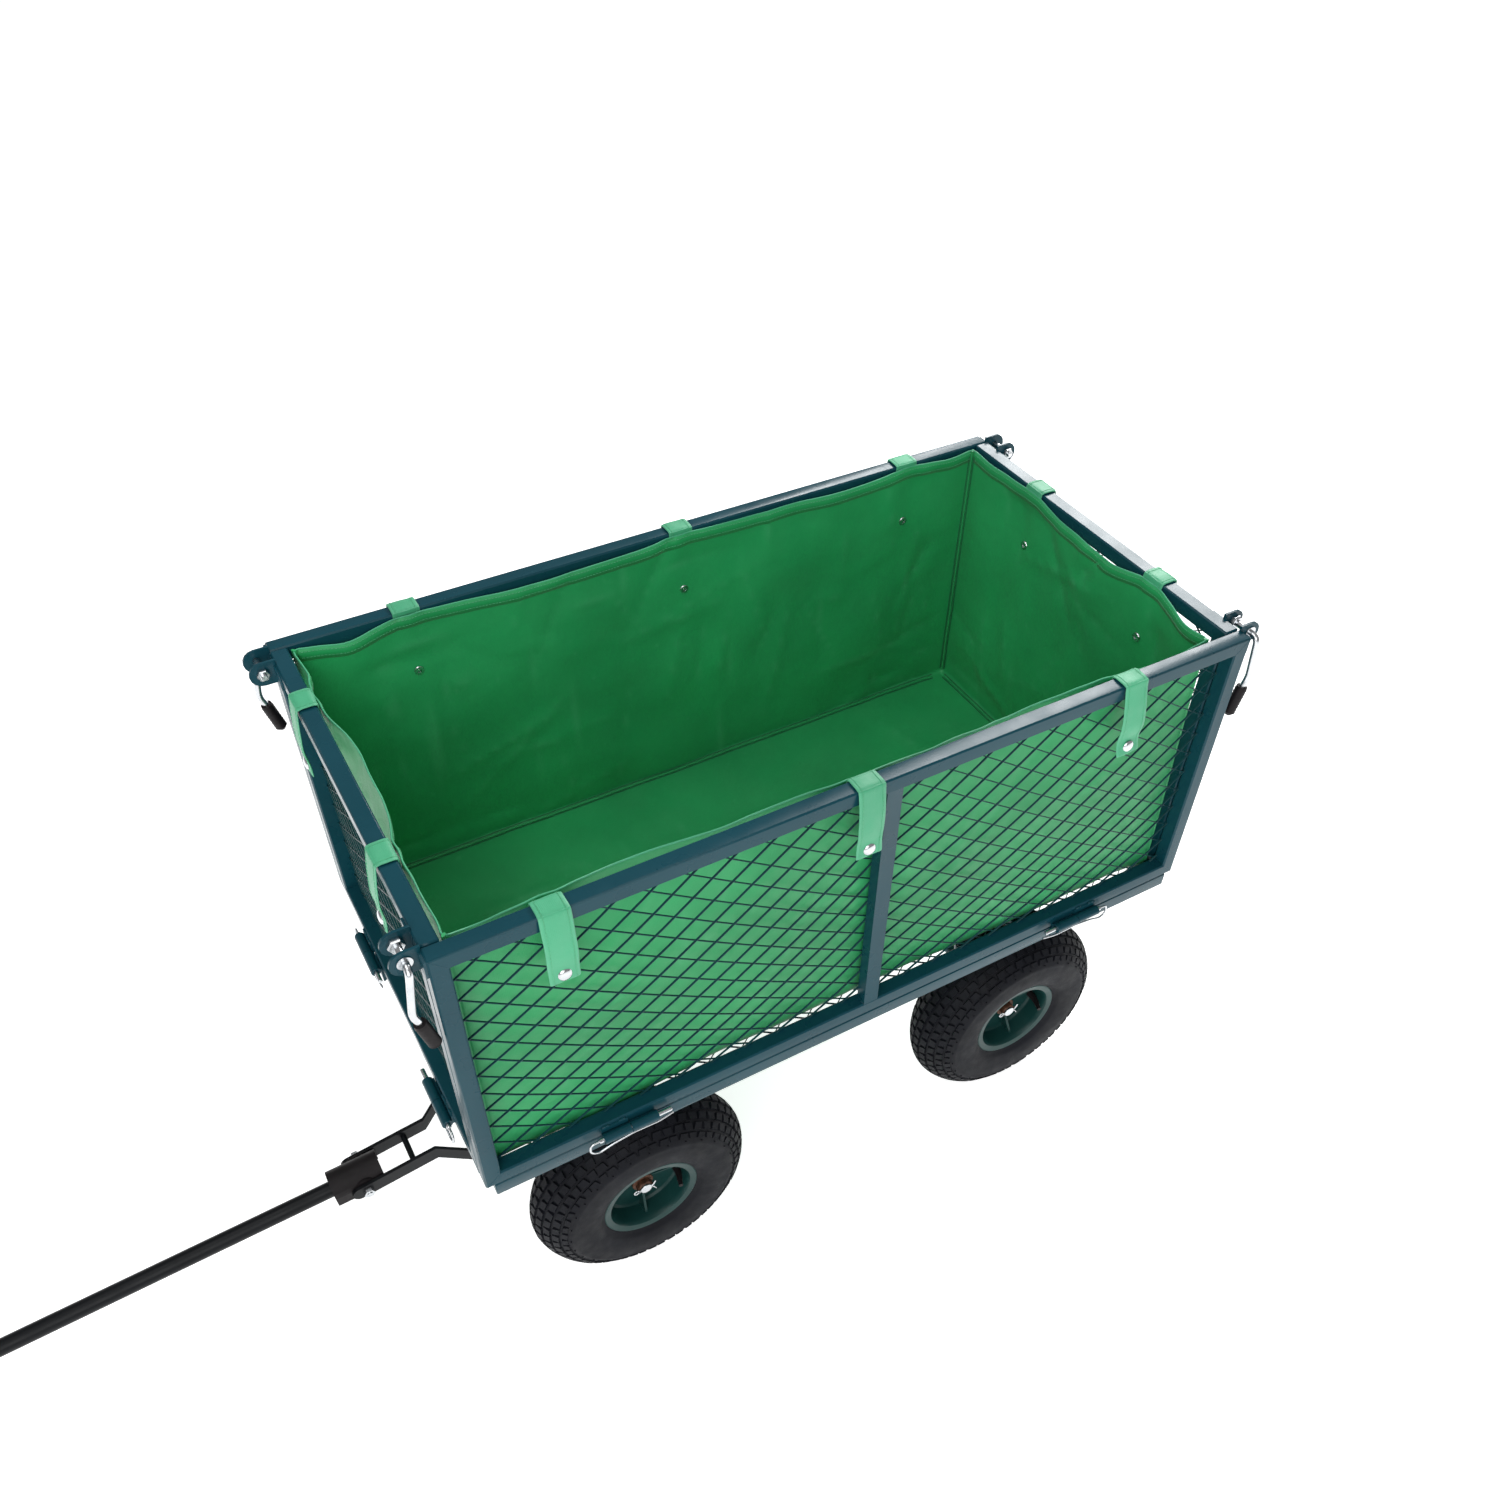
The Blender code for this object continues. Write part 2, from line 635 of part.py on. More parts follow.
def fork_arm(hand):
    """Flat bar on edge: straight beside the cap, flared outward, then back to the axle tube."""
    half = 0.011
    thick = 0.005
    px, pz = FORK_PIVOT
    stations = [(px - 0.010, 0.0252, pz - 0.001), (-0.514, 0.0252, 0.0845),
                (-0.464, 0.0640, 0.0930), (FRONT_X - 0.0155, 0.0640, WHEEL_R)]
    bm = bmesh.new()
    rings = []
    for x, y, z in stations:
        rings.append([bm.verts.new((x, hand * (y - thick / 2), z - half)),
                      bm.verts.new((x, hand * (y + thick / 2), z - half)),
                      bm.verts.new((x, hand * (y + thick / 2), z + half)),
                      bm.verts.new((x, hand * (y - thick / 2), z + half))])
    for one, two in zip(rings, rings[1:]):
        for k in range(4):
            j = (k + 1) % 4
            bm.faces.new((one[k], one[j], two[j], two[k]))
    bm.faces.new(rings[0])
    bm.faces.new(rings[-1])
    bmesh.ops.recalc_face_normals(bm, faces=bm.faces)
    x0, y0, z0 = stations[0]
    nose = rod((x0, hand * (y0 - thick / 2), z0), (x0, hand * (y0 + thick / 2), z0), half, 20)
    return fuse(bm, nose)


def fork():
    """Both arms, their cross brace and the gusset plate that meets the axle tube."""
    px, pz = FORK_PIVOT
    brace = rod((-0.545, -0.026, 0.0800), (-0.545, 0.026, 0.0800), 0.004, 12)
    plate = box(FRONT_X - 0.036, FRONT_X - 0.0155, -0.0665, 0.0665, WHEEL_R - 0.009,
                WHEEL_R - 0.004)
    body = fuse(fork_arm(1), fork_arm(-1), brace, plate)
    bolt = rod((px, -0.05, pz), (px, 0.05, pz), 0.0041, 32)
    place("tow_fork", cut(body, bolt), (px, 0, pz))


def pivot_bolt():
    px, pz = FORK_PIVOT
    shank = rod((px, -0.036, pz), (px, 0.030, pz), 0.004, 32)
    ends = []
    for low, high in ((-0.0345, -0.0282), (0.0282, 0.0345)):
        ends.append(prism([(px + 0.0075 * math.cos(math.radians(60 * k)),
                            pz + 0.0075 * math.sin(math.radians(60 * k))) for k in range(6)],
                          "y", low, high))
    place("pivot_bolt", fuse(shank, *ends), (px, 0, pz))


def along_shaft(distance, y=0.0, lift=0.0):
    """Point measured from the pivot along the tow tube, which slopes gently to the ground."""
    px, pz = FORK_PIVOT
    c = math.cos(SHAFT_TILT)
    s = math.sin(SHAFT_TILT)
    return Vector((px - distance * c - lift * s, y, pz - distance * s + lift * c))


def tow_tube():
    """Long tube with its pivot eye, and the D-shaped handle loop welded to its end."""
    px, pz = FORK_PIVOT
    main = rod(along_shaft(-0.014), along_shaft(SHAFT_LEN), TUBE_R, 24)
    wide = 0.056
    path = [along_shaft(SHAFT_LEN - 0.006)]
    path += [along_shaft(SHAFT_LEN + 0.018, -0.016), along_shaft(SHAFT_LEN + 0.044, -0.046),
             along_shaft(SHAFT_LEN + 0.060, -wide), along_shaft(SHAFT_LEN + 0.085, -wide),
             along_shaft(SHAFT_LEN + 0.0945, -wide + 0.0095)]
    path += [along_shaft(SHAFT_LEN + 0.0945, wide - 0.0095),
             along_shaft(SHAFT_LEN + 0.085, wide), along_shaft(SHAFT_LEN + 0.060, wide),
             along_shaft(SHAFT_LEN + 0.044, 0.046), along_shaft(SHAFT_LEN + 0.018, 0.016),
             along_shaft(SHAFT_LEN - 0.004, 0.0005)]
    left = sweep(path[:7], 0.0055, 8)
    right = sweep(path[5:], 0.0055, 8)
    lug = clevis()
    body = fuse(main, left, right, *lug)
    bolt = rod((px, -0.03, pz), (px, 0.03, pz), 0.0041, 32)
    hitch = rod(along_shaft(SHAFT_LEN - 0.030, 0, -0.03), along_shaft(SHAFT_LEN - 0.030, 0, 0.05),
                0.0061, 32)
    place("tow_tube", cut(body, bolt, hitch), (px, 0, pz))


def clevis():
    """Upper hitch plate, joined to the tube by a cheek; the tube is the clevis's lower jaw."""
    low = along_shaft(SHAFT_LEN - 0.055, 0, 0.005)
    high = along_shaft(SHAFT_LEN - 0.010, 0, 0.032)
    x0, x1 = sorted((low.x, high.x))
    cheek = box(x1 - 0.008, x1, -0.014, 0.014, low.z - 0.004, high.z)
    plate = box(x0 - 0.006, x1, -0.014, 0.014, high.z - 0.005, high.z)
    return cheek, plate


def hitch_pin():
    """Loose tow pin dropped through the clevis, with a ring head."""
    mid = SHAFT_LEN - 0.030
    shank = rod(along_shaft(mid, 0, -0.0130), along_shaft(mid, 0, 0.0420), 0.006, 24)
    collar = rod(along_shaft(mid, 0, 0.0385), along_shaft(mid, 0, 0.0435), 0.0105, 24)
    place("hitch_pin", fuse(shank, collar), along_shaft(mid))


def handle_grip():
    inner = 0.0056
    start = along_shaft(SHAFT_LEN + 0.0945, -0.042)
    end = along_shaft(SHAFT_LEN + 0.0945, 0.042)
    profile_out = rod(start, end, 0.0115, 24)
    hole = rod(start - Vector((0, 0.01, 0)), end + Vector((0, 0.01, 0)), inner, 24)
    place("handle_grip", cut(profile_out, hole), (start + end) / 2)


def saddle_cap():
    """Moulded cover over the fork's pivot: a half round with two cheeks, open below and at both ends."""
    px, pz = FORK_PIVOT
    outer = 0.0220
    wall = 0.0024
    inner = outer - wall
    rows = []
    for k in range(9):
        a = math.pi * k / 8
        rows.append((outer * math.cos(a), outer * math.sin(a) + 0.004))
    shape = [(outer, -0.0125)] + rows + [(-outer, -0.0125), (-inner, -0.0125)]
    for k in range(9):
        a = math.pi - math.pi * k / 8
        shape.append((inner * math.cos(a), inner * math.sin(a) + 0.004))
    shape.append((inner, -0.0125))
    bm = prism(shape, "x", -0.026, 0.042)
    tilt = Matrix.Translation((px, 0, pz)) @ Matrix.Rotation(-SHAFT_TILT, 4, "Y")
    flip = Matrix.Rotation(math.pi, 4, "Z")
    bm = moved(bm, tilt @ flip)
    rear = rod((px, -outer - 0.0003, pz), (px, -inner + 0.0003, pz), 0.0165, 24)
    fore = rod((px, inner - 0.0003, pz), (px, outer + 0.0003, pz), 0.0165, 24)
    bolt = rod((px, -0.05, pz), (px, 0.05, pz), 0.0041, 32)
    place("saddle_cap", cut(fuse(bm, rear, fore), bolt), (px, 0, pz))


# ---------------------------------------------------------------- liner
def corner_loop(x0, x1, y0, y1, radius, steps=3, along=4):
    """Closed rounded-rectangle loop as (x, y) points with extra points along each side."""
    out = []
    corners = [((x1 - radius, y0 + radius), -90), ((x1 - radius, y1 - radius), 0),
               ((x0 + radius, y1 - radius), 90), ((x0 + radius, y0 + radius), 180)]
    for n, (centre, start) in enumerate(corners):
        for k in range(steps + 1):
            a = math.radians(start + 90 * k / steps)
            out.append((centre[0] + radius * math.cos(a), centre[1] + radius * math.sin(a)))
        nxt, first = corners[(n + 1) % 4]
        b = math.radians(first)
        goal = (nxt[0] + radius * math.cos(b), nxt[1] + radius * math.sin(b))
        here = out[-1]
        for k in range(1, along):
            t = k / along
            out.append((here[0] + (goal[0] - here[0]) * t, here[1] + (goal[1] - here[1]) * t))
    return out


def liner():
    """Open fabric tub: one sewn skin, thicker only in the drawing than the cloth really is."""
    x0, x1 = -0.470, 0.452
    y0, y1 = -0.2400, 0.2400
    bottom = RAIL_LOW + BED_RAIL + 0.004
    levels = (bottom, bottom + 0.012, TOP - 0.16, TOP - 0.008)
    inset = (0.012, 0.002, 0.0015, 0.0)
    loops = []
    for z, d in zip(levels, inset):
        loops.append([(x, y, z) for x, y in corner_loop(x0 + d, x1 - d, y0 + d, y1 - d, 0.03)])
    inner = []
    for z, d in zip(levels, inset):
        d = d + FABRIC
        z = z + (FABRIC if z < bottom + 0.02 else 0.0)
        inner.append([(x, y, z) for x, y in corner_loop(x0 + d, x1 - d, y0 + d, y1 - d, 0.028)])
    bm = bmesh.new()
    rings = [[bm.verts.new(p) for p in loop] for loop in loops + inner[::-1]]
    count = len(rings[0])
    for one, two in zip(rings, rings[1:]):
        for k in range(count):
            j = (k + 1) % count
            bm.faces.new((one[k], one[j], two[j], two[k]))
    bm.faces.new(rings[0])
    bm.faces.new(rings[-1])
    place("liner", bm, (0, 0, bottom))


def strap(name, side, spot):
    """Sewn tab: up the liner's inner face, over the rail and down outside to its snap."""
    if side in ("near", "far"):
        inside = HALF_W - 0.2400 + FABRIC + 0.0004
    else:
        wall = 0.470 if side == "front" else 0.452
        inside = HALF_L - wall + FABRIC + 0.0004
    if side == "far":
        spot = -spot
    if side == "front":
        spot = -spot
    t = 0.0018
    out = 0.0012
    centre = [(inside + t / 2 + 0.0008, TOP - 0.040), (inside + t / 2 + 0.0008, TOP - 0.004),
              (inside - 0.0015, TOP + 0.0010), (TUBE, TOP + 0.0022), (0.001, TOP + 0.0022),
              (-out - t, TOP - 0.004), (-out - t - 0.003, TOP - 0.030), (-out - t - 0.002, TOP - 0.098)]
    left = []
    right = []
    for i, (y, z) in enumerate(centre):
        before = centre[max(0, i - 1)]
        after = centre[min(len(centre) - 1, i + 1)]
        d = Vector((after[0] - before[0], after[1] - before[1])).normalized()
        left.append((y + d.y * t / 2, z - d.x * t / 2))
        right.append((y - d.y * t / 2, z + d.x * t / 2))
    outline = left + right[::-1]
    bm = prism(outline, "x", spot - STRAP_WIDE / 2, spot + STRAP_WIDE / 2)
    matrix = turn_to(side)
    place(name, moved(bm, matrix), matrix @ Vector((spot, TUBE / 2, TOP)))


# ---------------------------------------------------------------- materials
FINISHES = (
    # first words of the node's name, colour, roughness, metallic
    (("tyre",), (0.020, 0.021, 0.025), 0.80, 0.0),
    (("rim",), (0.018, 0.075, 0.070), 0.40, 0.2),
    (("bed", "panel", "rear_axle_carrier", "front_axle_carrier"), (0.022, 0.070, 0.085), 0.42, 0.2),
    (("liner",), (0.020, 0.330, 0.120), 0.50, 0.0),
    (("strap",), (0.110, 0.520, 0.310), 0.45, 0.0),
    (("hinge_pin", "latch_rod", "axle_nut", "pivot_bolt", "kingpin", "hitch_pin", "rear_axle",
      "front_axle"), (0.620, 0.640, 0.660), 0.28, 1.0),
    (("latch_grip", "handle_grip", "saddle_cap"), (0.022, 0.018, 0.020), 0.60, 0.0),
    (("tow_",), (0.014, 0.016, 0.019), 0.45, 0.2),
)


def finish(obj):
    """Give a node a material of its own and smooth shading between its sharp edges."""
    for names, colour, rough, metal in FINISHES:
        if obj.name.startswith(names):
            mat = bpy.data.materials.new(obj.name)
            mat.use_nodes = True
            shader = mat.node_tree.nodes["Principled BSDF"]
            shader.inputs["Base Color"].default_value = (*colour, 1.0)
            shader.inputs["Roughness"].default_value = rough
            shader.inputs["Metallic"].default_value = metal
            obj.data.materials.clear()
            obj.data.materials.append(mat)
            break
    obj.data.shade_smooth()
    obj.data.set_sharp_from_angle(angle=math.radians(35))


# ---------------------------------------------------------------- assembly
def build():
    for obj in list(bpy.data.objects):
        bpy.data.objects.remove(obj)
    bed_frame()
    bed_floor()
    rear_axle_carrier()
    front_axle_carrier()
    kingpin()
    axle("rear_axle", REAR_X)
    axle("front_axle", FRONT_X)
    for end, x in (("front", FRONT_X), ("rear", REAR_X)):
        for side, y in (("near", -WHEEL_Y), ("far", WHEEL_Y)):
            wheel(end + "_" + side, x, y)
    for side in ("near", "far", "front", "rear"):
        panel(side)
        for n, spot in enumerate(hinge_spots(side)):
            hinge_pin("hinge_pin_" + side + "_" + "ab"[n], side, spot)
        for n, spot in enumerate(STRAPS[side]):
            strap("strap_" + side + "_" + "abc"[n], side, spot)
    latch("front_near", "near", -1)
    latch("rear_near", "near", 1)
    latch("front_far", "far", 1)
    latch("rear_far", "far", -1)
    fork()
    pivot_bolt()
    tow_tube()
    saddle_cap()
    handle_grip()
    hitch_pin()
    liner()
    for obj in bpy.data.objects:
        finish(obj)


build()
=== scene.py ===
import json
import math
import random
import bmesh
import bpy
from mathutils import Matrix, Vector, noise

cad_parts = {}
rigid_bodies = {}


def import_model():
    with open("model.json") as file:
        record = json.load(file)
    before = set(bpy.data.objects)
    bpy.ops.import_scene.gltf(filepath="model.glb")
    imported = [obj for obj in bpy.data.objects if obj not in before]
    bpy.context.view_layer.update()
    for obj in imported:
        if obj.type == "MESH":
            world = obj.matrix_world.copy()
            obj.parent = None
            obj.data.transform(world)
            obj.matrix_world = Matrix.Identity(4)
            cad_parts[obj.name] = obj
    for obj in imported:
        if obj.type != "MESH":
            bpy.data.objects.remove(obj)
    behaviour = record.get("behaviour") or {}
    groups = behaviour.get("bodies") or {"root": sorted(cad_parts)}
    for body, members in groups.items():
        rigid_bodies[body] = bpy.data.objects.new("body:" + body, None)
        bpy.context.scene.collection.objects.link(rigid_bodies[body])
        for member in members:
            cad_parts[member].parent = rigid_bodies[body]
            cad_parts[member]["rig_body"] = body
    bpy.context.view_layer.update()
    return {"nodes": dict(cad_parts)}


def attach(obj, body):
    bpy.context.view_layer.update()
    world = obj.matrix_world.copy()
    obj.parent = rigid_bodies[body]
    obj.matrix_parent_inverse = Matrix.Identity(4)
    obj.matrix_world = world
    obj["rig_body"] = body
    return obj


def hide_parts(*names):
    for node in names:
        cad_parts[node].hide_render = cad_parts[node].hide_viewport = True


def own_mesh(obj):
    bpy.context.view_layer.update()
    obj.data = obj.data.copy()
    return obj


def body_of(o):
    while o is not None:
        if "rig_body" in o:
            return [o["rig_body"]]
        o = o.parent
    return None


for thing in list(bpy.data.objects):
    bpy.data.objects.remove(thing)
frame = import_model()

# ---------------------------------------------------------------- sizes, in metres, as in the CAD
SX = 0.37327
HALF_L = 0.500
HALF_W = 0.268
RAIL_LOW = 0.3225
BED_RAIL = 0.0205
TUBE = 0.020
PANEL_LOW = RAIL_LOW + BED_RAIL + 0.0005
TOP = 0.7386
HINGE_OUT = 0.0085
HINGE_Z = RAIL_LOW + 0.0265
KNUCKLE_LEN = 0.034
HINGE_X = (-0.327, 0.325)
HINGE_Y = (-0.137, 0.118)
ROD_OUT = 0.0155
ROD_Z = TOP - 0.0078
EAR_T = 0.003
EAR_MID = TOP - 0.0095
EAR_LONG = 0.0195
EAR_END = 0.0223
PLATE_LOW = 0.2730
WHEEL_R = 0.147
HUB_OUT = 0.0130
WHEEL_Y = 0.2245
FRONT_X = -0.3043
REAR_X = 0.2735
FORK_PIVOT = (-0.612, 0.0705)
SHAFT_TILT = math.radians(3.1)
SHAFT_LEN = 0.560
SIDES = ("near", "far", "front", "rear")
LONG = ("near", "far")
PLACES = {"near": ((0, -HALF_W, 0), 0), "far": ((0, HALF_W, 0), math.pi),
          "front": ((-HALF_L, 0, 0), -math.pi / 2), "rear": ((HALF_L, 0, 0), math.pi / 2)}
INWARD = {"near": Vector((0, 1, 0)), "far": Vector((0, -1, 0)),
          "front": Vector((1, 0, 0)), "rear": Vector((-1, 0, 0))}
CART = Matrix.Translation((SX, 0, 0))


def turn_to(side):
    """From a panel's drawing frame (length along X, outer face at y = 0 towards -Y) to the row frame."""
    place, angle = PLACES[side]
    return CART @ Matrix.Translation(place) @ Matrix.Rotation(angle, 4, "Z")


def half_length(side):
    return HALF_L if side in LONG else HALF_W - TUBE - 0.001


def along_side(side, value):
    """A cart X or Y position turned into the panel's own length direction."""
    return -value if side in ("far", "front") else value


def hinge_spots(side):
    """Hinge positions along a panel, in its drawing frame."""
    return [along_side(side, v) for v in (HINGE_X if side in LONG else HINGE_Y)]


# ---------------------------------------------------------------- materials
def nodes_of(name):
    mat = bpy.data.materials.new(name)
    mat.use_nodes = True
    tree = mat.node_tree
    return mat, tree, tree.nodes["Principled BSDF"]


def link(tree, a, out, b, into):
    tree.links.new(a.outputs[out], b.inputs[into])


def texture(tree, kind, scale, detail=4.0, stretch=None, coords="Object", **more):
    """A texture node on the piece's own coordinates."""
    where = tree.nodes.new("ShaderNodeTexCoord")
    node = tree.nodes.new(kind)
    node.inputs["Scale"].default_value = scale
    if "Detail" in node.inputs:
        node.inputs["Detail"].default_value = detail
    for key, value in more.items():
        node.inputs[key].default_value = value
    if stretch:
        mapping = tree.nodes.new("ShaderNodeMapping")
        mapping.inputs["Scale"].default_value = stretch
        link(tree, where, coords, mapping, "Vector")
        link(tree, mapping, "Vector", node, "Vector")
    else:
        link(tree, where, coords, node, "Vector")
    return node


def ramp(tree, source, stops, out="Fac"):
    node = tree.nodes.new("ShaderNodeValToRGB")
    while len(node.color_ramp.elements) < len(stops):
        node.color_ramp.elements.new(0.5)
    for element, (place, colour) in zip(node.color_ramp.elements, stops):
        element.position = place
        element.color = (*colour, 1.0) if hasattr(colour, "__len__") else (colour, colour, colour, 1.0)
    link(tree, source, out, node, "Fac")
    return node


def shade(colour, factor):
    return tuple(min(1.0, c * factor) for c in colour)


def blend_colour(tree, factor, out, a, b, mode="MIX"):
    """Mix node; a and b are (node, socket) or a colour."""
    node = tree.nodes.new("ShaderNodeMix")
    node.data_type = "RGBA"
    node.blend_type = mode
    if factor is None:
        node.inputs[0].default_value = out
    else:
        link(tree, factor, out, node, 0)
    for value, socket in ((a, 6), (b, 7)):
        if hasattr(value[0], "outputs"):
            tree.links.new(value[0].outputs[value[1]], node.inputs[socket])
        else:
            node.inputs[socket].default_value = (*value, 1.0)
    return node


def bump(tree, shader, source, out, strength, distance, before=None):
    node = tree.nodes.new("ShaderNodeBump")
    node.inputs["Strength"].default_value = strength
    node.inputs["Distance"].default_value = distance
    link(tree, source, out, node, "Height")
    if before:
        link(tree, before, "Normal", node, "Normal")
    link(tree, node, "Normal", shader, "Normal")
    return node


def plain(name, colour, rough, metal=0.0, coat=0.0, spread=0.12, grain=9.0, fine=260.0,
          fine_depth=0.0001, rough_spread=0.06, strength=0.25, spec=0.5):
    """Painted, plated or moulded surface: broad tone drift, roughness drift and a fine skin."""
    mat, tree, shader = nodes_of(name)
    broad = texture(tree, "ShaderNodeTexNoise", grain, 5.0)
    tone = ramp(tree, broad, ((0.3, shade(colour, 1 - spread)), (0.7, shade(colour, 1 + spread))))
    link(tree, tone, "Color", shader, "Base Color")
    patch = texture(tree, "ShaderNodeTexNoise", grain * 4, 3.0)
    gloss = ramp(tree, patch, ((0.3, max(0.02, rough - rough_spread)), (0.7, rough + rough_spread)))
    link(tree, gloss, "Color", shader, "Roughness")
    skin = texture(tree, "ShaderNodeTexNoise", fine, 2.0)
    bump(tree, shader, skin, "Fac", strength, fine_depth)
    shader.inputs["Metallic"].default_value = metal
    shader.inputs["Specular IOR Level"].default_value = spec
    shader.inputs["Coat Weight"].default_value = coat
    shader.inputs["Coat Roughness"].default_value = 0.12
    return mat


def fabric(name, colour, light, rough=0.5, weave=1150.0, fade=0.35):
    """Coated woven cloth: fine weave, whitened fold lines from the mesh's own attribute, tone drift."""
    mat, tree, shader = nodes_of(name)
    broad = texture(tree, "ShaderNodeTexNoise", 5.0, 6.0)
    tone = ramp(tree, broad, ((0.32, shade(colour, 0.84)), (0.68, shade(colour, 1.12))))
    fold = tree.nodes.new("ShaderNodeAttribute")
    fold.attribute_name = "fold"
    mixed = blend_colour(tree, fold, "Fac", (tone, "Color"), light)
    scuff = texture(tree, "ShaderNodeTexNoise", 60.0, 8.0)
    worn = ramp(tree, scuff, ((0.66, 0.0), (0.84, fade * 0.6)))
    top = blend_colour(tree, worn, "Color", (mixed, "Result"), light)
    link(tree, top, "Result", shader, "Base Color")
    patch = texture(tree, "ShaderNodeTexNoise", 22.0, 4.0)
    gloss = ramp(tree, patch, ((0.3, rough - 0.07), (0.7, rough + 0.08)))
    link(tree, gloss, "Color", shader, "Roughness")
    warp = texture(tree, "ShaderNodeTexWave", weave / 6.283, 0.0, coords="UV")
    weft = texture(tree, "ShaderNodeTexWave", weave / 6.283, 0.0, coords="UV")
    weft.bands_direction = "Y"
    cross = tree.nodes.new("ShaderNodeMath")
    cross.operation = "MULTIPLY"
    link(tree, warp, "Fac", cross, 0)
    link(tree, weft, "Fac", cross, 1)
    first = bump(tree, shader, cross, "Value", 0.35, 0.00025)
    crumple = texture(tree, "ShaderNodeTexNoise", 70.0, 6.0)
    second = bump(tree, shader, crumple, "Fac", 0.30, 0.0020, first)
    wrinkle = texture(tree, "ShaderNodeTexNoise", 7.0, 3.0, (1.0, 1.0, 1.6), Distortion=0.8)
    wrinkle.noise_type = "RIDGED_MULTIFRACTAL"
    bump(tree, shader, wrinkle, "Fac", 0.28, 0.0075, second)
    shader.inputs["Sheen Weight"].default_value = 0.08
    shader.inputs["Sheen Roughness"].default_value = 0.4
    return mat


MATS = {
    "frame_paint": plain("frame_paint", (0.005, 0.050, 0.070), 0.30, coat=0.05, spread=0.10, grain=7.0,
                         fine=420.0, fine_depth=0.00012, spec=0.17),
    "mesh_paint": plain("mesh_paint", (0.006, 0.046, 0.054), 0.36, coat=0.02, spread=0.15, grain=12.0,
                        spec=0.18),
    "rim_paint": plain("rim_paint", (0.007, 0.040, 0.037), 0.34, coat=0.02, grain=16.0, spec=0.2),
    "black_steel": plain("black_steel", (0.0045, 0.0055, 0.0070), 0.36, spread=0.2, grain=14.0, spec=0.16),
    "zinc": plain("zinc", (0.60, 0.62, 0.64), 0.22, metal=1.0, spread=0.08, grain=60.0, fine=700.0),
    "grip_plastic": plain("grip_plastic", (0.009, 0.007, 0.008), 0.52, spread=0.2, grain=40.0, spec=0.18),
    "tyre_rubber": plain("tyre_rubber", (0.0060, 0.0068, 0.0100), 0.60, spread=0.28, grain=18.0, fine=900.0,
                         fine_depth=0.0003, rough_spread=0.08, strength=0.5, spec=0.14),
    "liner_fabric": fabric("liner_fabric", (0.018, 0.330, 0.105), (0.12, 0.50, 0.26)),
    "strap_fabric": fabric("strap_fabric", (0.055, 0.370, 0.190), (0.15, 0.50, 0.30)),
    "hub_rust": plain("hub_rust", (0.105, 0.045, 0.024), 0.62, metal=0.3, spread=0.5, grain=220.0,
                      fine=900.0, fine_depth=0.0004),
    "thread_light": plain("thread_light", (0.10, 0.42, 0.22), 0.7, spread=0.1, grain=300.0),
    # Thin dark strips laid beside the liner's seams: painted shade where the seams would shadow the cloth,
    # not a thread colour.
    "painted_seam_shadow": plain("painted_seam_shadow", (0.010, 0.120, 0.050), 0.7, spread=0.1, grain=300.0),
}


# ---------------------------------------------------------------- geometry
def grid_faces(rows, cols, wrap_rows=False, wrap_cols=True):
    """Four-sided faces over rows of points, closed round either way if asked."""
    faces = []
    for i in range(rows if wrap_rows else rows - 1):
        j = (i + 1) % rows
        for k in range(cols if wrap_cols else cols - 1):
            m = (k + 1) % cols
            faces.append((i * cols + k, i * cols + m, j * cols + m, j * cols + k))
    return faces


def turn_outward(mesh):
    bm = bmesh.new()
    bm.from_mesh(mesh)
    bmesh.ops.recalc_face_normals(bm, faces=bm.faces)
    bm.to_mesh(mesh)
    bm.free()


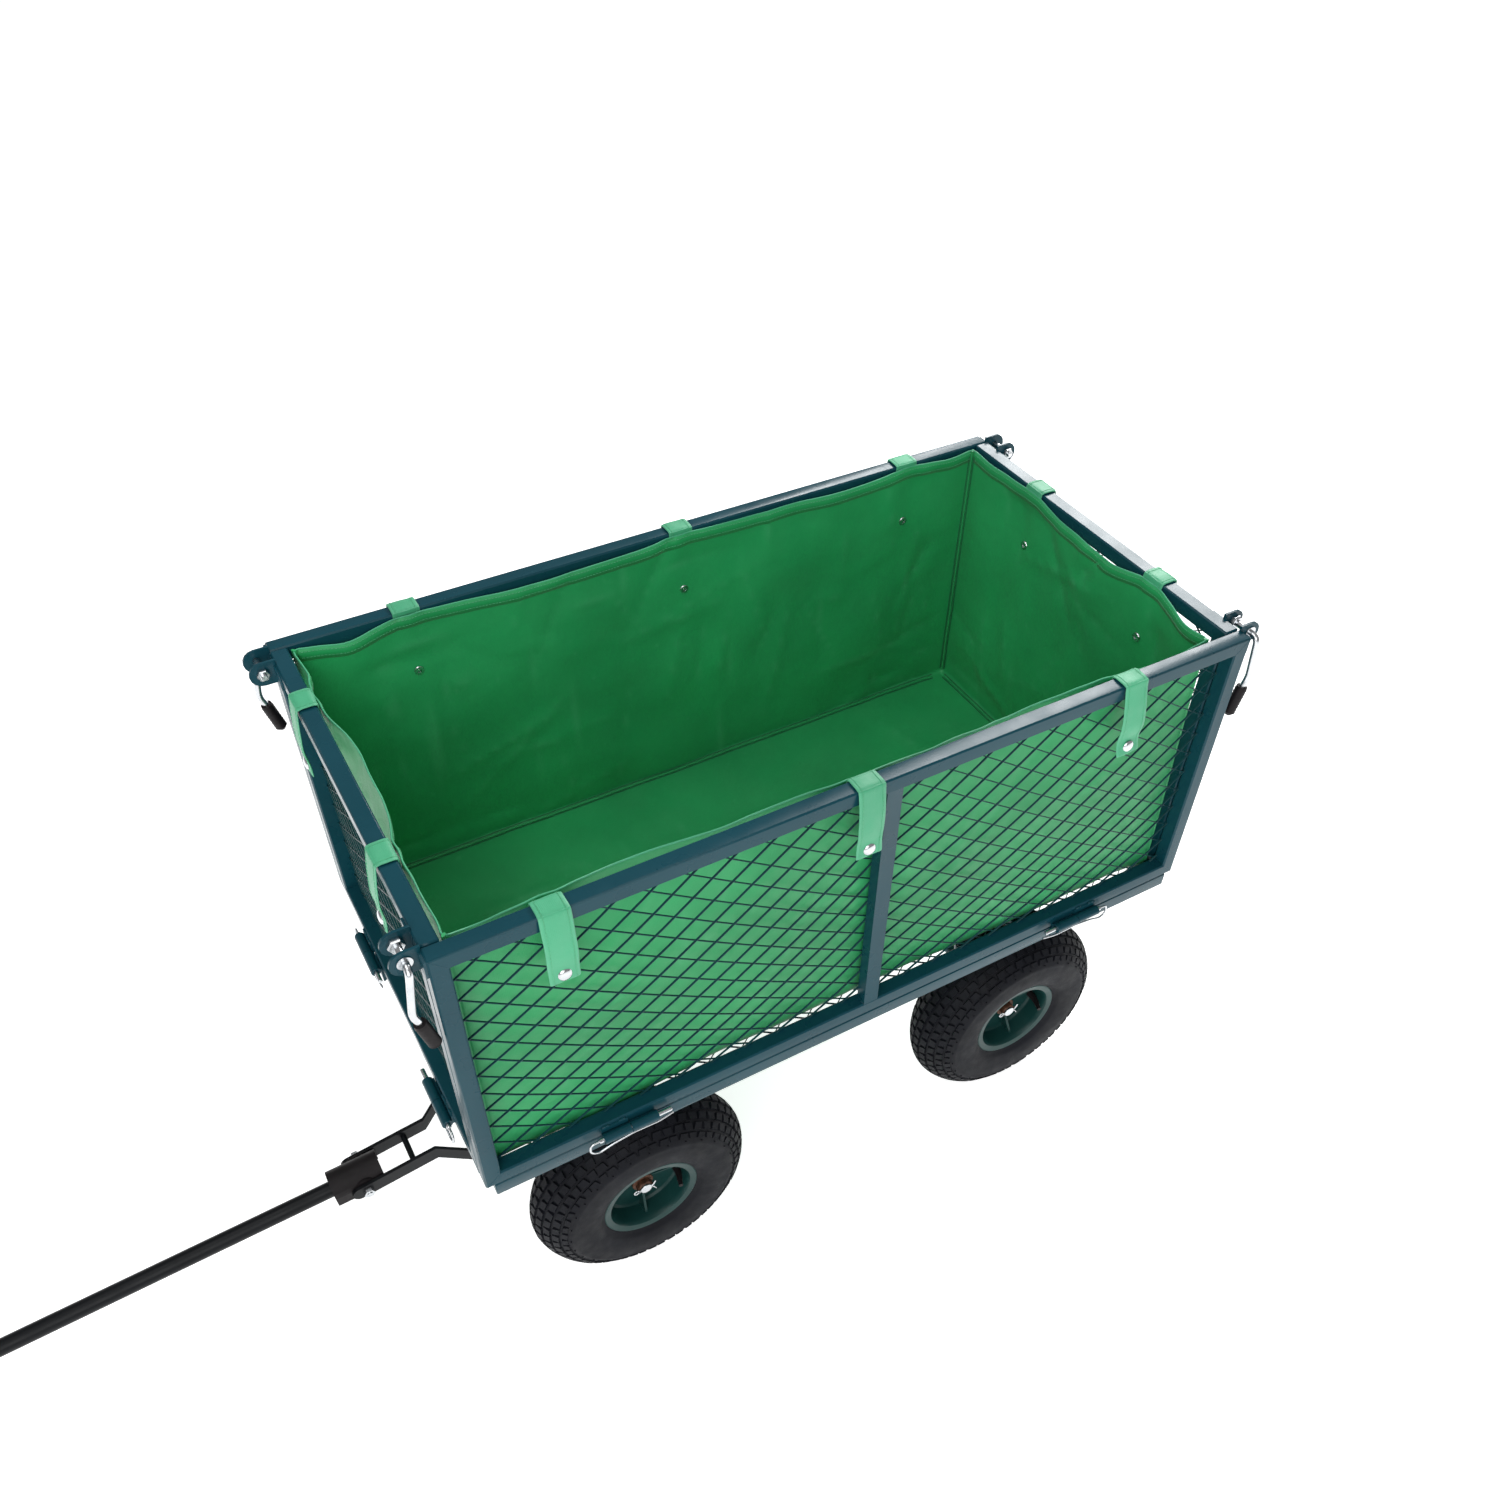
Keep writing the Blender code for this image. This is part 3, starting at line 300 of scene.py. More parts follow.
class Soup:
    """Vertices and faces of one piece, gathered in the row frame."""

    def __init__(self):
        self.verts = []
        self.faces = []

    def add(self, verts, faces, matrix=None):
        base = len(self.verts)
        for v in verts:
            self.verts.append(matrix @ Vector(v) if matrix else Vector(v))
        self.faces += [tuple(base + i for i in f) for f in faces]
        return self

    def sweep(self, points, radius, sides=12, matrix=None, closed=False, wide=1.0, up=None):
        """Round or elliptical bar along points; radius may differ from point to point."""
        pts = [Vector(p) for p in points]
        n = len(pts)
        radii = list(radius) if hasattr(radius, "__len__") else [radius] * n
        verts = []
        side = None
        for i, here in enumerate(pts):
            a = (here - pts[i - 1]) if (i or closed) else (pts[1] - here)
            b = (pts[(i + 1) % n] - here) if (i + 1 < n or closed) else a
            along = (a.normalized() + b.normalized()).normalized()
            if side is None:
                side = Vector(up) if up else along.orthogonal()
            side = (side - along * side.dot(along)).normalized()
            other = along.cross(side)
            for k in range(sides):
                t = 2 * math.pi * (k + 0.5) / sides
                verts.append(here + (side * math.cos(t) * wide + other * math.sin(t)) * radii[i])
        faces = grid_faces(n, sides, closed)
        if not closed:
            faces.append(tuple(range(sides))[::-1])
            faces.append(tuple(range((n - 1) * sides, n * sides)))
        return self.add(verts, faces, matrix)

    def rod(self, a, b, radius, sides=20, matrix=None, chamfer=0.0):
        """Cylinder with chamfered ends."""
        a, b = Vector(a), Vector(b)
        if not chamfer:
            return self.sweep([a, b], radius, sides, matrix)
        d = (b - a).normalized() * chamfer
        return self.sweep([a, a + d, b - d, b], [radius - chamfer, radius, radius, radius - chamfer],
                          sides, matrix)

    def prism(self, outline, low, high, matrix=None):
        """Outline of (x, z) points extruded along Y."""
        n = len(outline)
        verts = [(x, low, z) for x, z in outline] + [(x, high, z) for x, z in outline]
        faces = grid_faces(2, n) + [tuple(range(n))[::-1], tuple(range(n, 2 * n))]
        return self.add(verts, faces, matrix)

    def box(self, x0, x1, y0, y1, z0, z1, matrix=None):
        return self.prism([(x0, z0), (x1, z0), (x1, z1), (x0, z1)], y0, y1, matrix)

    def turn(self, profile, matrix=None, steps=32, closed=False):
        """(radius, height) profile turned about the local Z axis."""
        verts = []
        for k in range(steps):
            a = 2 * math.pi * k / steps
            verts += [(r * math.cos(a), r * math.sin(a), h) for r, h in profile]
        return self.add(verts, grid_faces(steps, len(profile), True, closed), matrix)

    def hexagon(self, across, height, matrix):
        """Hex nut or bolt head standing on local z = 0, with turned corners."""
        r = across / math.sqrt(3)
        verts = []
        for radius, h in ((r * 0.93, 0.0), (r, height * 0.12), (r, height * 0.85), (r * 0.90, height)):
            for k in range(6):
                a = math.radians(60 * k)
                verts.append((radius * math.cos(a), radius * math.sin(a), h))
        faces = [tuple(range(6))[::-1], tuple(range(18, 24))] + grid_faces(4, 6)
        return self.add(verts, faces, matrix)

    def bead(self, a, b, radius=0.0022, matrix=None, seed=1):
        """Weld bead: a lumpy low ridge."""
        a, b = Vector(a), Vector(b)
        count = max(3, int((b - a).length / 0.0016))
        rng = random.Random(seed)
        points = []
        radii = []
        for i in range(count + 1):
            t = i / count
            points.append(a.lerp(b, t))
            end = min(t, 1 - t) * count
            swell = 1.0 if end >= 1 else 0.45 + 0.55 * end
            radii.append(radius * swell * (0.82 + 0.30 * (i % 2) + 0.12 * rng.random()))
        return self.sweep(points, radii, 8, matrix)

    def piece(self, name, mat, body, **more):
        """The gathered shape as an object; more goes to settle."""
        mesh = bpy.data.meshes.new(name)
        mesh.from_pydata([tuple(v) for v in self.verts], [], self.faces)
        turn_outward(mesh)
        return settle(mesh, name, mat, body, **more)


def settle(mesh, name, mat, body, slot=None, stands_for=(), angle=38.0, bevel=0.0):
    """Object from a finished mesh: material, shading, body and the CAD nodes it stands for; the slot
    argument is not used.
    """
    obj = bpy.data.objects.new(name, mesh)
    bpy.context.scene.collection.objects.link(obj)
    mesh.materials.append(MATS[mat])
    mesh.shade_smooth()
    mesh.set_sharp_from_angle(angle=math.radians(angle))
    if bevel:
        mod = obj.modifiers.new("edges", "BEVEL")
        mod.width = bevel
        mod.segments = 2
        mod.limit_method = "ANGLE"
        mod.angle_limit = math.radians(38)
        mod.harden_normals = True
    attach(obj, body)
    if stands_for:
        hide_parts(*stands_for)
    return obj


def thicken(piece, thickness, smooth=True):
    """Cloth thickness about the mesh, with one level of smoothing."""
    shell = piece.modifiers.new("thickness", "SOLIDIFY")
    shell.thickness = thickness
    shell.offset = 0.0
    if smooth:
        mod = piece.modifiers.new("smooth", "SUBSURF")
        mod.levels = 1
        mod.render_levels = 1


def refine(node, mat, body, bevel=0.0006, angle=38.0):
    """The CAD node's own shape with its edges eased and its round faces shaded smooth."""
    bm = bmesh.new()
    bm.from_mesh(frame["nodes"][node].data)
    bmesh.ops.remove_doubles(bm, verts=bm.verts, dist=0.00002)
    bmesh.ops.dissolve_limit(bm, angle_limit=math.radians(0.6), verts=bm.verts, edges=bm.edges)
    bmesh.ops.recalc_face_normals(bm, faces=bm.faces)
    mesh = bpy.data.meshes.new(node + "_skin")
    bm.to_mesh(mesh)
    bm.free()
    return settle(mesh, node + "_skin", mat, body, None, (node,), angle, bevel)


def curve(points, steps=6, closed=False):
    """Smooth path through points."""
    pts = [Vector(p) for p in points]
    n = len(pts)
    out = []
    for i in range(n if closed else n - 1):
        p0 = pts[(i - 1) % n] if (closed or i) else pts[0] * 2 - pts[1]
        p1 = pts[i]
        p2 = pts[(i + 1) % n]
        p3 = pts[(i + 2) % n] if (closed or i + 2 < n) else pts[-1] * 2 - pts[-2]
        for k in range(steps):
            t = k / steps
            out.append(0.5 * ((2 * p1) + (p2 - p0) * t + (2 * p0 - 5 * p1 + 4 * p2 - p3) * t * t
                              + (3 * p1 - p0 - 3 * p2 + p3) * t * t * t))
    if not closed:
        out.append(pts[-1])
    return out


def rounded(points, radius, steps=5):
    """Polyline with its corners turned into arcs."""
    pts = [Vector(p) for p in points]
    out = [pts[0]]
    for a, b, c in zip(pts, pts[1:], pts[2:]):
        one = (a - b).normalized()
        two = (c - b).normalized()
        cut = min(radius, (a - b).length * 0.49, (c - b).length * 0.49)
        start = b + one * cut
        end = b + two * cut
        for k in range(steps + 1):
            t = k / steps
            out.append(start * (1 - t) ** 2 + b * 2 * t * (1 - t) + end * t * t)
    out.append(pts[-1])
    return out


def facing(point, direction):
    """Matrix that stands local Z along direction at point."""
    return Matrix.Translation(Vector(point)) @ Vector(direction).to_track_quat("Z", "Y").to_matrix().to_4x4()
def frame_body(node):
    """Name of the body a CAD node rides on."""
    return body_of(frame["nodes"][node])[0]


# ---------------------------------------------------------------- frames, hinges and mesh
def clip(x0, x1, z0, z1, slope, offset):
    """Ends of the line z = slope * x + offset inside a rectangle, or None."""
    spots = []
    for x in (x0, x1):
        z = slope * x + offset
        if z0 - 1e-9 <= z <= z1 + 1e-9:
            spots.append((x, z))
    for z in (z0, z1):
        x = (z - offset) / slope
        if x0 < x < x1:
            spots.append((x, z))
    if len(spots) < 2:
        return None
    spots.sort()
    if spots[-1][0] - spots[0][0] < 0.003:
        return None
    return spots[0], spots[-1]


def bulge(t):
    """0 at both ends of 0..1 and 1 in the middle."""
    return max(0.0, math.sin(math.pi * min(1.0, max(0.0, t))))


STRAND = 0.00080
WEAVE = 0.0004
LAP = 0.0015


def diamond_mesh(soup, x0, x1, z0, z1, depth, matrix, swell=0.0, long=0.0455, short=0.0315):
    """Expanded diamond lattice in the XZ plane: two families of slanted strands."""
    slope = short / long
    reach = (abs(x0) + abs(x1)) * slope + (z1 - z0) + short * 2
    count = int(reach / short) + 2
    for sign in (1, -1):
        for i in range(-count, count + 1):
            ends = clip(x0, x1, z0, z1, sign * slope, (z0 + z1) / 2 + i * short)
            if not ends:
                continue
            (ax, az), (bx, bz) = ends
            parts = max(2, int((bx - ax) / 0.035))
            points = []
            for k in range(parts + 1):
                t = k / parts
                x = ax + (bx - ax) * t
                z = az + (bz - az) * t
                u = (x - x0) / (x1 - x0)
                v = (z - z0) / (z1 - z0)
                out = swell * bulge(u) ** 0.7 * bulge(v) ** 0.8
                wave = noise.noise(Vector((x * 7, z * 7, depth * 50))) * 0.0012
                points.append((x + wave, depth - out - sign * WEAVE, z - wave))
            soup.sweep(points, STRAND, 6, matrix, wide=1.75, up=(0.25, 1.0, 0.35 * sign))


def build_lattice(side, matrix, h):
    """Diamond mesh in a panel's opening; a long panel has a field on each side of its post."""
    mesh = Soup()
    low = PANEL_LOW + TUBE - LAP
    high = TOP - TUBE + LAP
    end = h - TUBE + LAP
    mid = along_side(side, 0.005)
    fields = ((-end, mid, 0.0090), (mid, end, 0.0090)) if side in LONG else ((-end, end, 0.002),)
    for x0, x1, swell in fields:
        diamond_mesh(mesh, x0, x1, low, high, TUBE - 0.0030, matrix, swell)
    mesh.piece("panel_lattice_" + side, "mesh_paint", body="panel_" + side,
               stands_for=("panel_mesh_" + side,))


def panel_beads(side, h):
    """Weld beads of one panel as (start, end, radius): hinges, post, ears and mitres."""
    beads = []
    for spot in hinge_spots(side):
        hand = 1 if spot > 0 else -1
        z = HINGE_Z + 0.0112
        for a, b in ((0.003, 0.011), (0.023, 0.032)):
            beads.append(((spot + hand * a, -0.0010, z), (spot + hand * b, -0.0010, z), 0.0017))
    if side in LONG:
        mid = along_side(side, 0.005)
        for z in (PANEL_LOW + TUBE + 0.0002, TOP - TUBE - 0.0002):
            for edge in (-0.0098, 0.0098):
                beads.append(((mid + edge, 0.0030, z), (mid + edge, 0.0140, z), 0.0014))
        for hand in (-1, 1):
            x = hand * (HALF_L + 0.0006)
            beads.append(((x, 0.0040, EAR_MID - 0.0150), (x, 0.0160, EAR_MID - 0.0150), 0.0016))
    else:
        for hand in (-1, 1):
            x = hand * (h - 0.0436)
            z = EAR_MID - 0.0150
            beads.append(((hand * (h - 0.0260), -0.0006, z), (hand * (h - 0.0420), -0.0006, z), 0.0016))
            beads.append(((x, -0.0006, EAR_MID - 0.0120), (x, -0.0006, EAR_MID + 0.0060), 0.0014))
    for hand in (-1, 1):
        x = hand * (h - 0.0012)
        for z, way in ((PANEL_LOW + 0.0012, 1), (TOP - 0.0012, -1)):
            beads.append(((x, 0.0004, z), (x - hand * 0.0172, 0.0004, z + way * 0.0172), 0.0006))
    return beads


def bead_seeds(side):
    """Seeds of a panel's beads; an end panel's upright ear bead has its own, 30 higher."""
    if side in LONG:
        return list(range(4, 18))
    return [4, 5, 6, 7, 8, 38, 9, 39, 10, 11, 12, 13]


def build_panels():
    for side in SIDES:
        matrix = turn_to(side)
        h = half_length(side)
        refine("panel_frame_" + side, "frame_paint", "panel_" + side, 0.0008)
        build_lattice(side, matrix, h)
        welds = Soup()
        for (a, b, radius), seed in zip(panel_beads(side, h), bead_seeds(side)):
            welds.bead(a, b, radius, matrix, seed)
        welds.piece("panel_welds_" + side, "frame_paint", "panel_" + side)


def bed_welds():
    welds = Soup()
    z = RAIL_LOW + 0.0042
    for side in SIDES:
        for spot in hinge_spots(side):
            hand = -1 if spot > 0 else 1
            for seed, a, b in ((40, 0.003, 0.012), (41, 0.022, 0.032)):
                welds.bead((spot + hand * a, -0.0008, z), (spot + hand * b, -0.0008, z), 0.0016,
                           turn_to(side), seed)
    for x, half in ((FRONT_X, 0.028), (REAR_X, 0.020)):
        for hand in (-1, 1):
            for y in (-0.247, 0.247):
                edge = x + hand * half
                welds.bead((edge, y, RAIL_LOW + 0.002), (edge, y, RAIL_LOW + 0.014), 0.0016, CART, 50)
    plate_beads(welds, REAR_X, 0.140, ((0.040, RAIL_LOW - 0.0058, 51), (0.013, WHEEL_R + 0.006, 52)), 0.0018)
    welds.piece("bed_welds", "frame_paint", "bed")


def plate_beads(welds, x, out, rows, radius):
    """Beads on both faces of the two axle plates at y = -out and out; rows of (half, z, seed)."""
    for y in (-out, out):
        for off in (-0.0030, 0.0030):
            for half, z, seed in rows:
                welds.bead((x - half, y + off, z), (x + half, y + off, z), radius, CART, seed)


def build_bed():
    refine("bed_frame", "frame_paint", "bed", 0.0007)
    refine("rear_axle_carrier", "frame_paint", "bed", 0.0008)
    refine("rear_axle", "zinc", "bed", 0.0012)
    floor = Soup()
    flat = Matrix.Translation((0, 0, RAIL_LOW + BED_RAIL - 0.0026)) @ Matrix.Rotation(-math.pi / 2, 4, "X")
    diamond_mesh(floor, -0.4694, 0.4694, -0.2474, 0.2474, 0.0, CART @ flat)
    floor.piece("bed_floor_lattice", "mesh_paint", "bed", stands_for=("bed_floor_mesh",))
    bed_welds()
    bolts = Soup()
    for y in (-0.120, -0.045, 0.045, 0.120):
        for x in (REAR_X - 0.038, REAR_X + 0.038):
            bolts.hexagon(0.013, 0.0055, CART @ facing((x, y, RAIL_LOW - 0.0053), (0, 0, -1)))
            bolts.rod((x, y, RAIL_LOW - 0.006), (x, y, RAIL_LOW - 0.0150), 0.0039, 14, CART, 0.0006)
    bolts.piece("bed_bolts", "zinc", "bed")


def build_steering():
    refine("front_axle_carrier", "frame_paint", "steering", 0.0008)
    refine("kingpin", "zinc", frame_body("kingpin"), 0.0006)
    refine("front_axle", "zinc", "steering", 0.0012)
    refine("tow_fork", "black_steel", "steering", 0.0007)
    welds = Soup()
    plate_beads(welds, FRONT_X, 0.092, ((0.030, PLATE_LOW, 60), (0.013, WHEEL_R + 0.006, 61)), 0.0017)
    welds.piece("steering_welds", "frame_paint", "steering")
    marks = Soup()
    for hand in (-1, 1):
        for x, y, low, high, radius, seed in ((-0.545, 0.0228, 0.0755, 0.0845, 0.0024, 62),
                                              (FRONT_X - 0.0165, 0.060, 0.1395, 0.1545, 0.0020, 63)):
            marks.bead((x, hand * y, low), (x, hand * y, high), radius, CART, seed)
    marks.piece("fork_welds", "black_steel", "steering")


# ---------------------------------------------------------------- latches and pins
LATCHES = (("front_near", "near", -1), ("rear_near", "near", 1),
           ("front_far", "far", 1), ("rear_far", "far", -1))
WIRE_R = 0.00395
GRIP_RINGS = 18


def build_latch(name, side, hand):
    """The bent wire of one latch with its ribbed sleeve and the washer on the side panel's ear."""
    matrix = turn_to(side)
    body = "latch_" + name
    x = hand * (HALF_L + ROD_OUT)
    out = 0.0040
    bend = ROD_Z - 0.060
    start = Vector((x + hand * 0.0035, out, bend - 0.0130))
    end = Vector((x - hand * 0.0025, out, bend - 0.0375))
    corners = [(x, TUBE + 0.0007, ROD_Z), (x, out, ROD_Z), (x + hand * 0.0080, out, bend), start, end]
    rod = Soup()
    rod.sweep(rounded(corners, 0.0085, 6), WIRE_R, 16, matrix)
    rod.piece("latch_wire_" + name, "zinc", body, stands_for=("latch_rod_" + name,))
    way = (end - start).normalized()
    length = (end - start).length + 0.016
    points = [start + way * length * (k / GRIP_RINGS) for k in range(GRIP_RINGS + 1)]
    radii = [0.0066] + [0.0074 - (0.0006 if k % 2 else 0.0) for k in range(1, GRIP_RINGS - 1)]
    radii += [0.0072 - 0.0018 * (k - 16) for k in (GRIP_RINGS - 1, GRIP_RINGS)]
    grip = Soup()
    grip.sweep(points, radii, 20, matrix)
    grip.piece("latch_sleeve_" + name, "grip_plastic", body, stands_for=("latch_grip_" + name,))
    collar = Soup()
    ring = [(0.0041, 0.0), (0.0078, 0.0), (0.0080, 0.0006), (0.0078, 0.0013), (0.0041, 0.0013)]
    collar.turn(ring, matrix @ facing((x, EAR_LONG - EAR_T - 0.0002, ROD_Z), (0, -1, 0)), 24, True)
    collar.piece("latch_washer_" + name, "zinc", body)


def build_latch_nut(name, side):
    """Bolt end and nuts on the end panel's ear, in line with the latch."""
    end_side = name.split("_")[0]
    y_sign = -1 if side == "near" else 1
    x_sign = -1 if end_side == "front" else 1
    spot = Vector((x_sign * (HALF_L + ROD_OUT), y_sign * (half_length(end_side) - EAR_END), ROD_Z))
    outward = Vector((0, y_sign, 0))
    nut = Soup()
    nut.hexagon(0.0150, 0.0072, CART @ facing(spot, outward))
    nut.rod(spot, spot + outward * (EAR_END - 0.0004), 0.0043, 16, CART, 0.0007)
    nut.hexagon(0.0130, 0.0060, CART @ facing(spot - outward * EAR_T, -outward))
    nut.rod(spot, spot - outward * (EAR_T + 0.0095), 0.0039, 16, CART, 0.0007)
    nut.piece("latch_nut_" + name, "zinc", "panel_" + end_side)


def build_latches():
    for name, side, hand in LATCHES:
        build_latch(name, side, hand)
        build_latch_nut(name, side)


def build_pin(side, spot, name):
    """A hinge pin whose tail is bent back under the barrels."""
    matrix = turn_to(side)
    hand = 1 if spot > 0 else -1
    mid = Vector((spot, -HINGE_OUT, HINGE_Z))
    reach = KNUCKLE_LEN + 0.006
    tail = reach + 0.012
    bow = [(reach - 0.004, 0, 0), (reach + 0.0110, -0.0002, -0.0004), (reach + 0.0122, -0.0012, -0.0140),
           (reach + 0.0020, -0.002, -0.0190), (reach - 0.014, -0.002, -0.0135), (-0.002, -0.002, -0.0092),
           (-reach + 0.006, -0.002, -0.0105), (-reach - 0.003, -0.0012, -0.0098),
           (-tail - 0.002, 0, -0.0088)]
    pin = Soup()
    ends = [mid + Vector((hand * a, 0, 0)) for a in (-tail, reach)]
    pin.rod(*ends, 0.0030, 14, matrix, 0.0006)
    pin.sweep(rounded([mid + Vector((hand * a, b, c)) for a, b, c in bow], 0.005, 5), 0.0014, 10, matrix)
    pin.piece("hinge_wire_" + name, "zinc", "pin_" + name, stands_for=("hinge_pin_" + name,))


def build_pins():
    for side in SIDES:
        for letter, spot in zip("ab", hinge_spots(side)):
            build_pin(side, spot, side + "_" + letter)


# ---------------------------------------------------------------- wheels
TYRE_SIDE = ((0.0612, 0.0340), (0.0640, 0.0372), (0.0668, 0.0388), (0.0700, 0.0408), (0.0722, 0.0428),
             (0.0745, 0.0438), (0.0780, 0.0448), (0.0860, 0.0463), (0.0940, 0.0468), (0.1020, 0.0465),
             (0.1080, 0.0456), (0.1100, 0.0458), (0.1120, 0.0447), (0.1180, 0.0415), (0.1245, 0.0368),
             (0.1310, 0.0302), (0.1365, 0.0225), (0.1405, 0.0145), (0.1430, 0.0070), (0.1438, 0.0))
TYRE_INNER = [(0.0600, -0.0280), (0.1000, -0.0385), (0.1290, -0.0220), (0.1350, 0.0), (0.1290, 0.0220),
              (0.1000, 0.0385), (0.0600, 0.0280)]
# tread rows: distance from the middle, half width, height, half a pitch of shift or not
TREAD_ROWS = ((0.0, 0.0050, 0.0031, 0), (0.0125, 0.0050, 0.0031, 1), (-0.0125, 0.0050, 0.0031, 1),
              (0.0250, 0.0050, 0.0031, 0), (-0.0250, 0.0050, 0.0031, 0),
              (0.0372, 0.0049, 0.0029, 1), (-0.0372, 0.0049, 0.0029, 1),
              (0.0482, 0.0042, 0.0021, 0), (-0.0482, 0.0042, 0.0021, 0))
TREAD_COUNT = 54
NIB_COUNT = 28
RIM_HALF = [(0.0200, 0.0060), (0.0420, 0.0055), (0.0500, 0.0070), (0.0528, 0.0100), (0.0535, 0.0290),
            (0.0545, 0.0345), (0.0560, 0.0368), (0.0600, 0.0378), (0.0640, 0.0384), (0.0652, 0.0376),
            (0.0650, 0.0360), (0.0630, 0.0352), (0.0600, 0.0340), (0.0580, 0.0300)]
RIB = ((-0.0020, -0.0135), (0.0020, -0.0135), (0.0020, -0.0540), (-0.0020, -0.0540))
BOX_FACES = [(0, 1, 5, 4), (1, 2, 6, 5), (2, 3, 7, 6), (3, 0, 4, 7), (4, 5, 6, 7), (3, 2, 1, 0)]


def on_tread(s):
    """Radius, height and outward normal of the carcass at distance s from its middle."""
    sign = 1 if s >= 0 else -1
    reach = 0.0
    for (r0, y0), (r1, y1) in zip(TYRE_SIDE[::-1], TYRE_SIDE[-2::-1]):
        dr, dy = r1 - r0, y1 - y0
        size = math.hypot(dr, dy)
        after = reach + size
        if abs(s) <= after:
            t = (abs(s) - reach) / (after - reach)
            return r0 + dr * t, sign * (y0 + dy * t), dy / size, sign * -dr / size
        reach = after
    raise ValueError("beyond the tyre's bead")


def tread_blocks():
    """The eight corners of every tread block about the wheel's centre."""
    pitch = 2 * math.pi / TREAD_COUNT
    blocks = []
    for s, half, tall, lean in TREAD_ROWS:
        for k in range(TREAD_COUNT):
            mid = pitch * (k + 0.5 * lean)
            corners = []
            for height, shrink in ((-0.0012, 0.0), (tall, 0.0009)):
                for da, ds in ((-1, -1), (1, -1), (1, 1), (-1, 1)):
                    r, y, nr, ny = on_tread(s + ds * (half - shrink))
                    skew = 0.0010 * ds * (1 if k % 2 else -1)
                    a = mid + (da * (0.0068 - shrink) + skew) / 0.144
                    r += nr * height
                    y += ny * height
                    corners.append((r * math.cos(a), y, r * math.sin(a)))
            blocks.append(corners)
    return blocks


def build_tyre(name, hub, lay, blocks):
    tyre = Soup()
    tyre.turn(list(TYRE_SIDE) + [(r, -y) for r, y in TYRE_SIDE[-2::-1]] + TYRE_INNER, lay, 96, True)
    tread = Soup()
    for corners in blocks:
        tread.add(corners, BOX_FACES, hub)
    for k in range(NIB_COUNT):
        a = 2 * math.pi * k / NIB_COUNT
        for s in (-1, 1):
            spot = (0.1135 * math.cos(a), s * 0.0440, 0.1135 * math.sin(a))
            place = facing(spot, (math.cos(a) * 0.5, s, math.sin(a) * 0.5))
            tread.turn([(0.0, 0.0017), (0.0007, 0.0015), (0.0010, 0.0)], hub @ place, 8)
    tyre.piece("tyre_carcass_" + name, "tyre_rubber", "wheel_" + name, stands_for=("tyre_" + name,))
    tread.piece("tyre_tread_" + name, "tyre_rubber", "wheel_" + name, angle=25)


def build_rim(name, hub, lay, out):
    """Turned rim with its hub tube, three ribs on each side and their weld beads."""
    deep = HUB_OUT + 0.0002
    ends = {out: [(0.0084, deep), (0.0132, deep), (0.0138, deep - 0.0006), (0.0140, 0.0080)],
            -out: [(0.0084, 0.0407), (0.0132, 0.0407), (0.0138, 0.0400), (0.0140, 0.0080)]}
    rim = Soup()
    rim.turn(ends[1] + RIM_HALF + [(r, -s) for r, s in (ends[-1] + RIM_HALF)[::-1]], lay, 80, True)
    first = 4 if name.startswith("front") else -10
    turns = [hub @ Matrix.Rotation(math.radians(120 * k + first), 4, "Y") for k in range(3)]
    welds = Soup()
    for k, turn in enumerate(turns):
        for s in (-1, 1):
            verts = [(x, s * 0.005, z) for x, z in RIB]
            verts += [(x * 0.8, s * (0.0115 if z > -0.02 else 0.026), z) for x, z in RIB]
            rim.add(verts, BOX_FACES, turn)
            for edge in (-0.0022, 0.0022):
                welds.bead((edge, s * 0.0062, -0.018), (edge, s * 0.0062, -0.050), 0.0013, turn, k + 7)
                welds.bead((edge, s * 0.009, -0.0528), (edge, s * 0.022, -0.0528), 0.0013, turn, k + 9)
    rim.piece("rim_shell_" + name, "rim_paint", "wheel_" + name, stands_for=("rim_" + name,), angle=32)
    welds.piece("rim_welds_" + name, "rim_paint", "wheel_" + name)


def build_hub(name, hub, out):
    """Bush at the outer end of the hub tube and the valve stem."""
    bush = Soup()
    face = hub @ facing((0, out * (HUB_OUT + 0.0004), 0), (0, out, 0))
    bush.turn([(0.0083, 0.0006), (0.0134, 0.0006), (0.0144, -0.0002), (0.0144, -0.0060)], face, 32)
    bush.piece("hub_bush_" + name, "hub_rust", "wheel_" + name)
    base = Vector((0.0465, out * 0.0100, 0.0))
    path = [base] + [base + Vector((x, out * y, 0)) for x, y in
                     ((0.0, 0.010), (-0.002, 0.019), (-0.004, 0.024), (-0.006, 0.031))]
    stem = Soup()
    stem.sweep(path[:4], [0.0052, 0.0046, 0.0038, 0.0034], 16, hub)
    stem.sweep(path[3:], 0.0029, 14, hub)
    stem.piece("valve_" + name, "grip_plastic", "wheel_" + name)


def build_axle_end(name, x, y, out):
    """Cap nut on the axle and the cotter through it; both stay with the axle."""
    keep = frame_body("axle_nut_" + name)
    nut = Soup()
    nut.hexagon(0.0192, 0.0072, CART @ facing((x, y + out * (HUB_OUT + 0.0014), WHEEL_R), (0, out, 0)))
    nut.piece("axle_cap_nut_" + name, "hub_rust", keep, stands_for=("axle_nut_" + name,))
    y += out * (HUB_OUT + 0.0100)
    eye = ((0.0105, 0.0015), (0.0140, 0.0036), (0.0170, 0.0), (0.0140, -0.0036), (0.0105, -0.0015))
    cotter = Soup()
    cotter.sweep(curve([(x - back, y, WHEEL_R + lift) for back, lift in eye], 4), 0.0011, 8, CART)
    for s in (-1, 1):
        leg = [(x - 0.0105, y, WHEEL_R + s * 0.0012), (x + 0.0095, y, WHEEL_R + s * 0.0012),
               (x + 0.0135, y, WHEEL_R + s * 0.0090)]
        cotter.sweep(rounded(leg, 0.003, 4), 0.0011, 8, CART)
    cotter.piece("cotter_" + name, "zinc", keep)


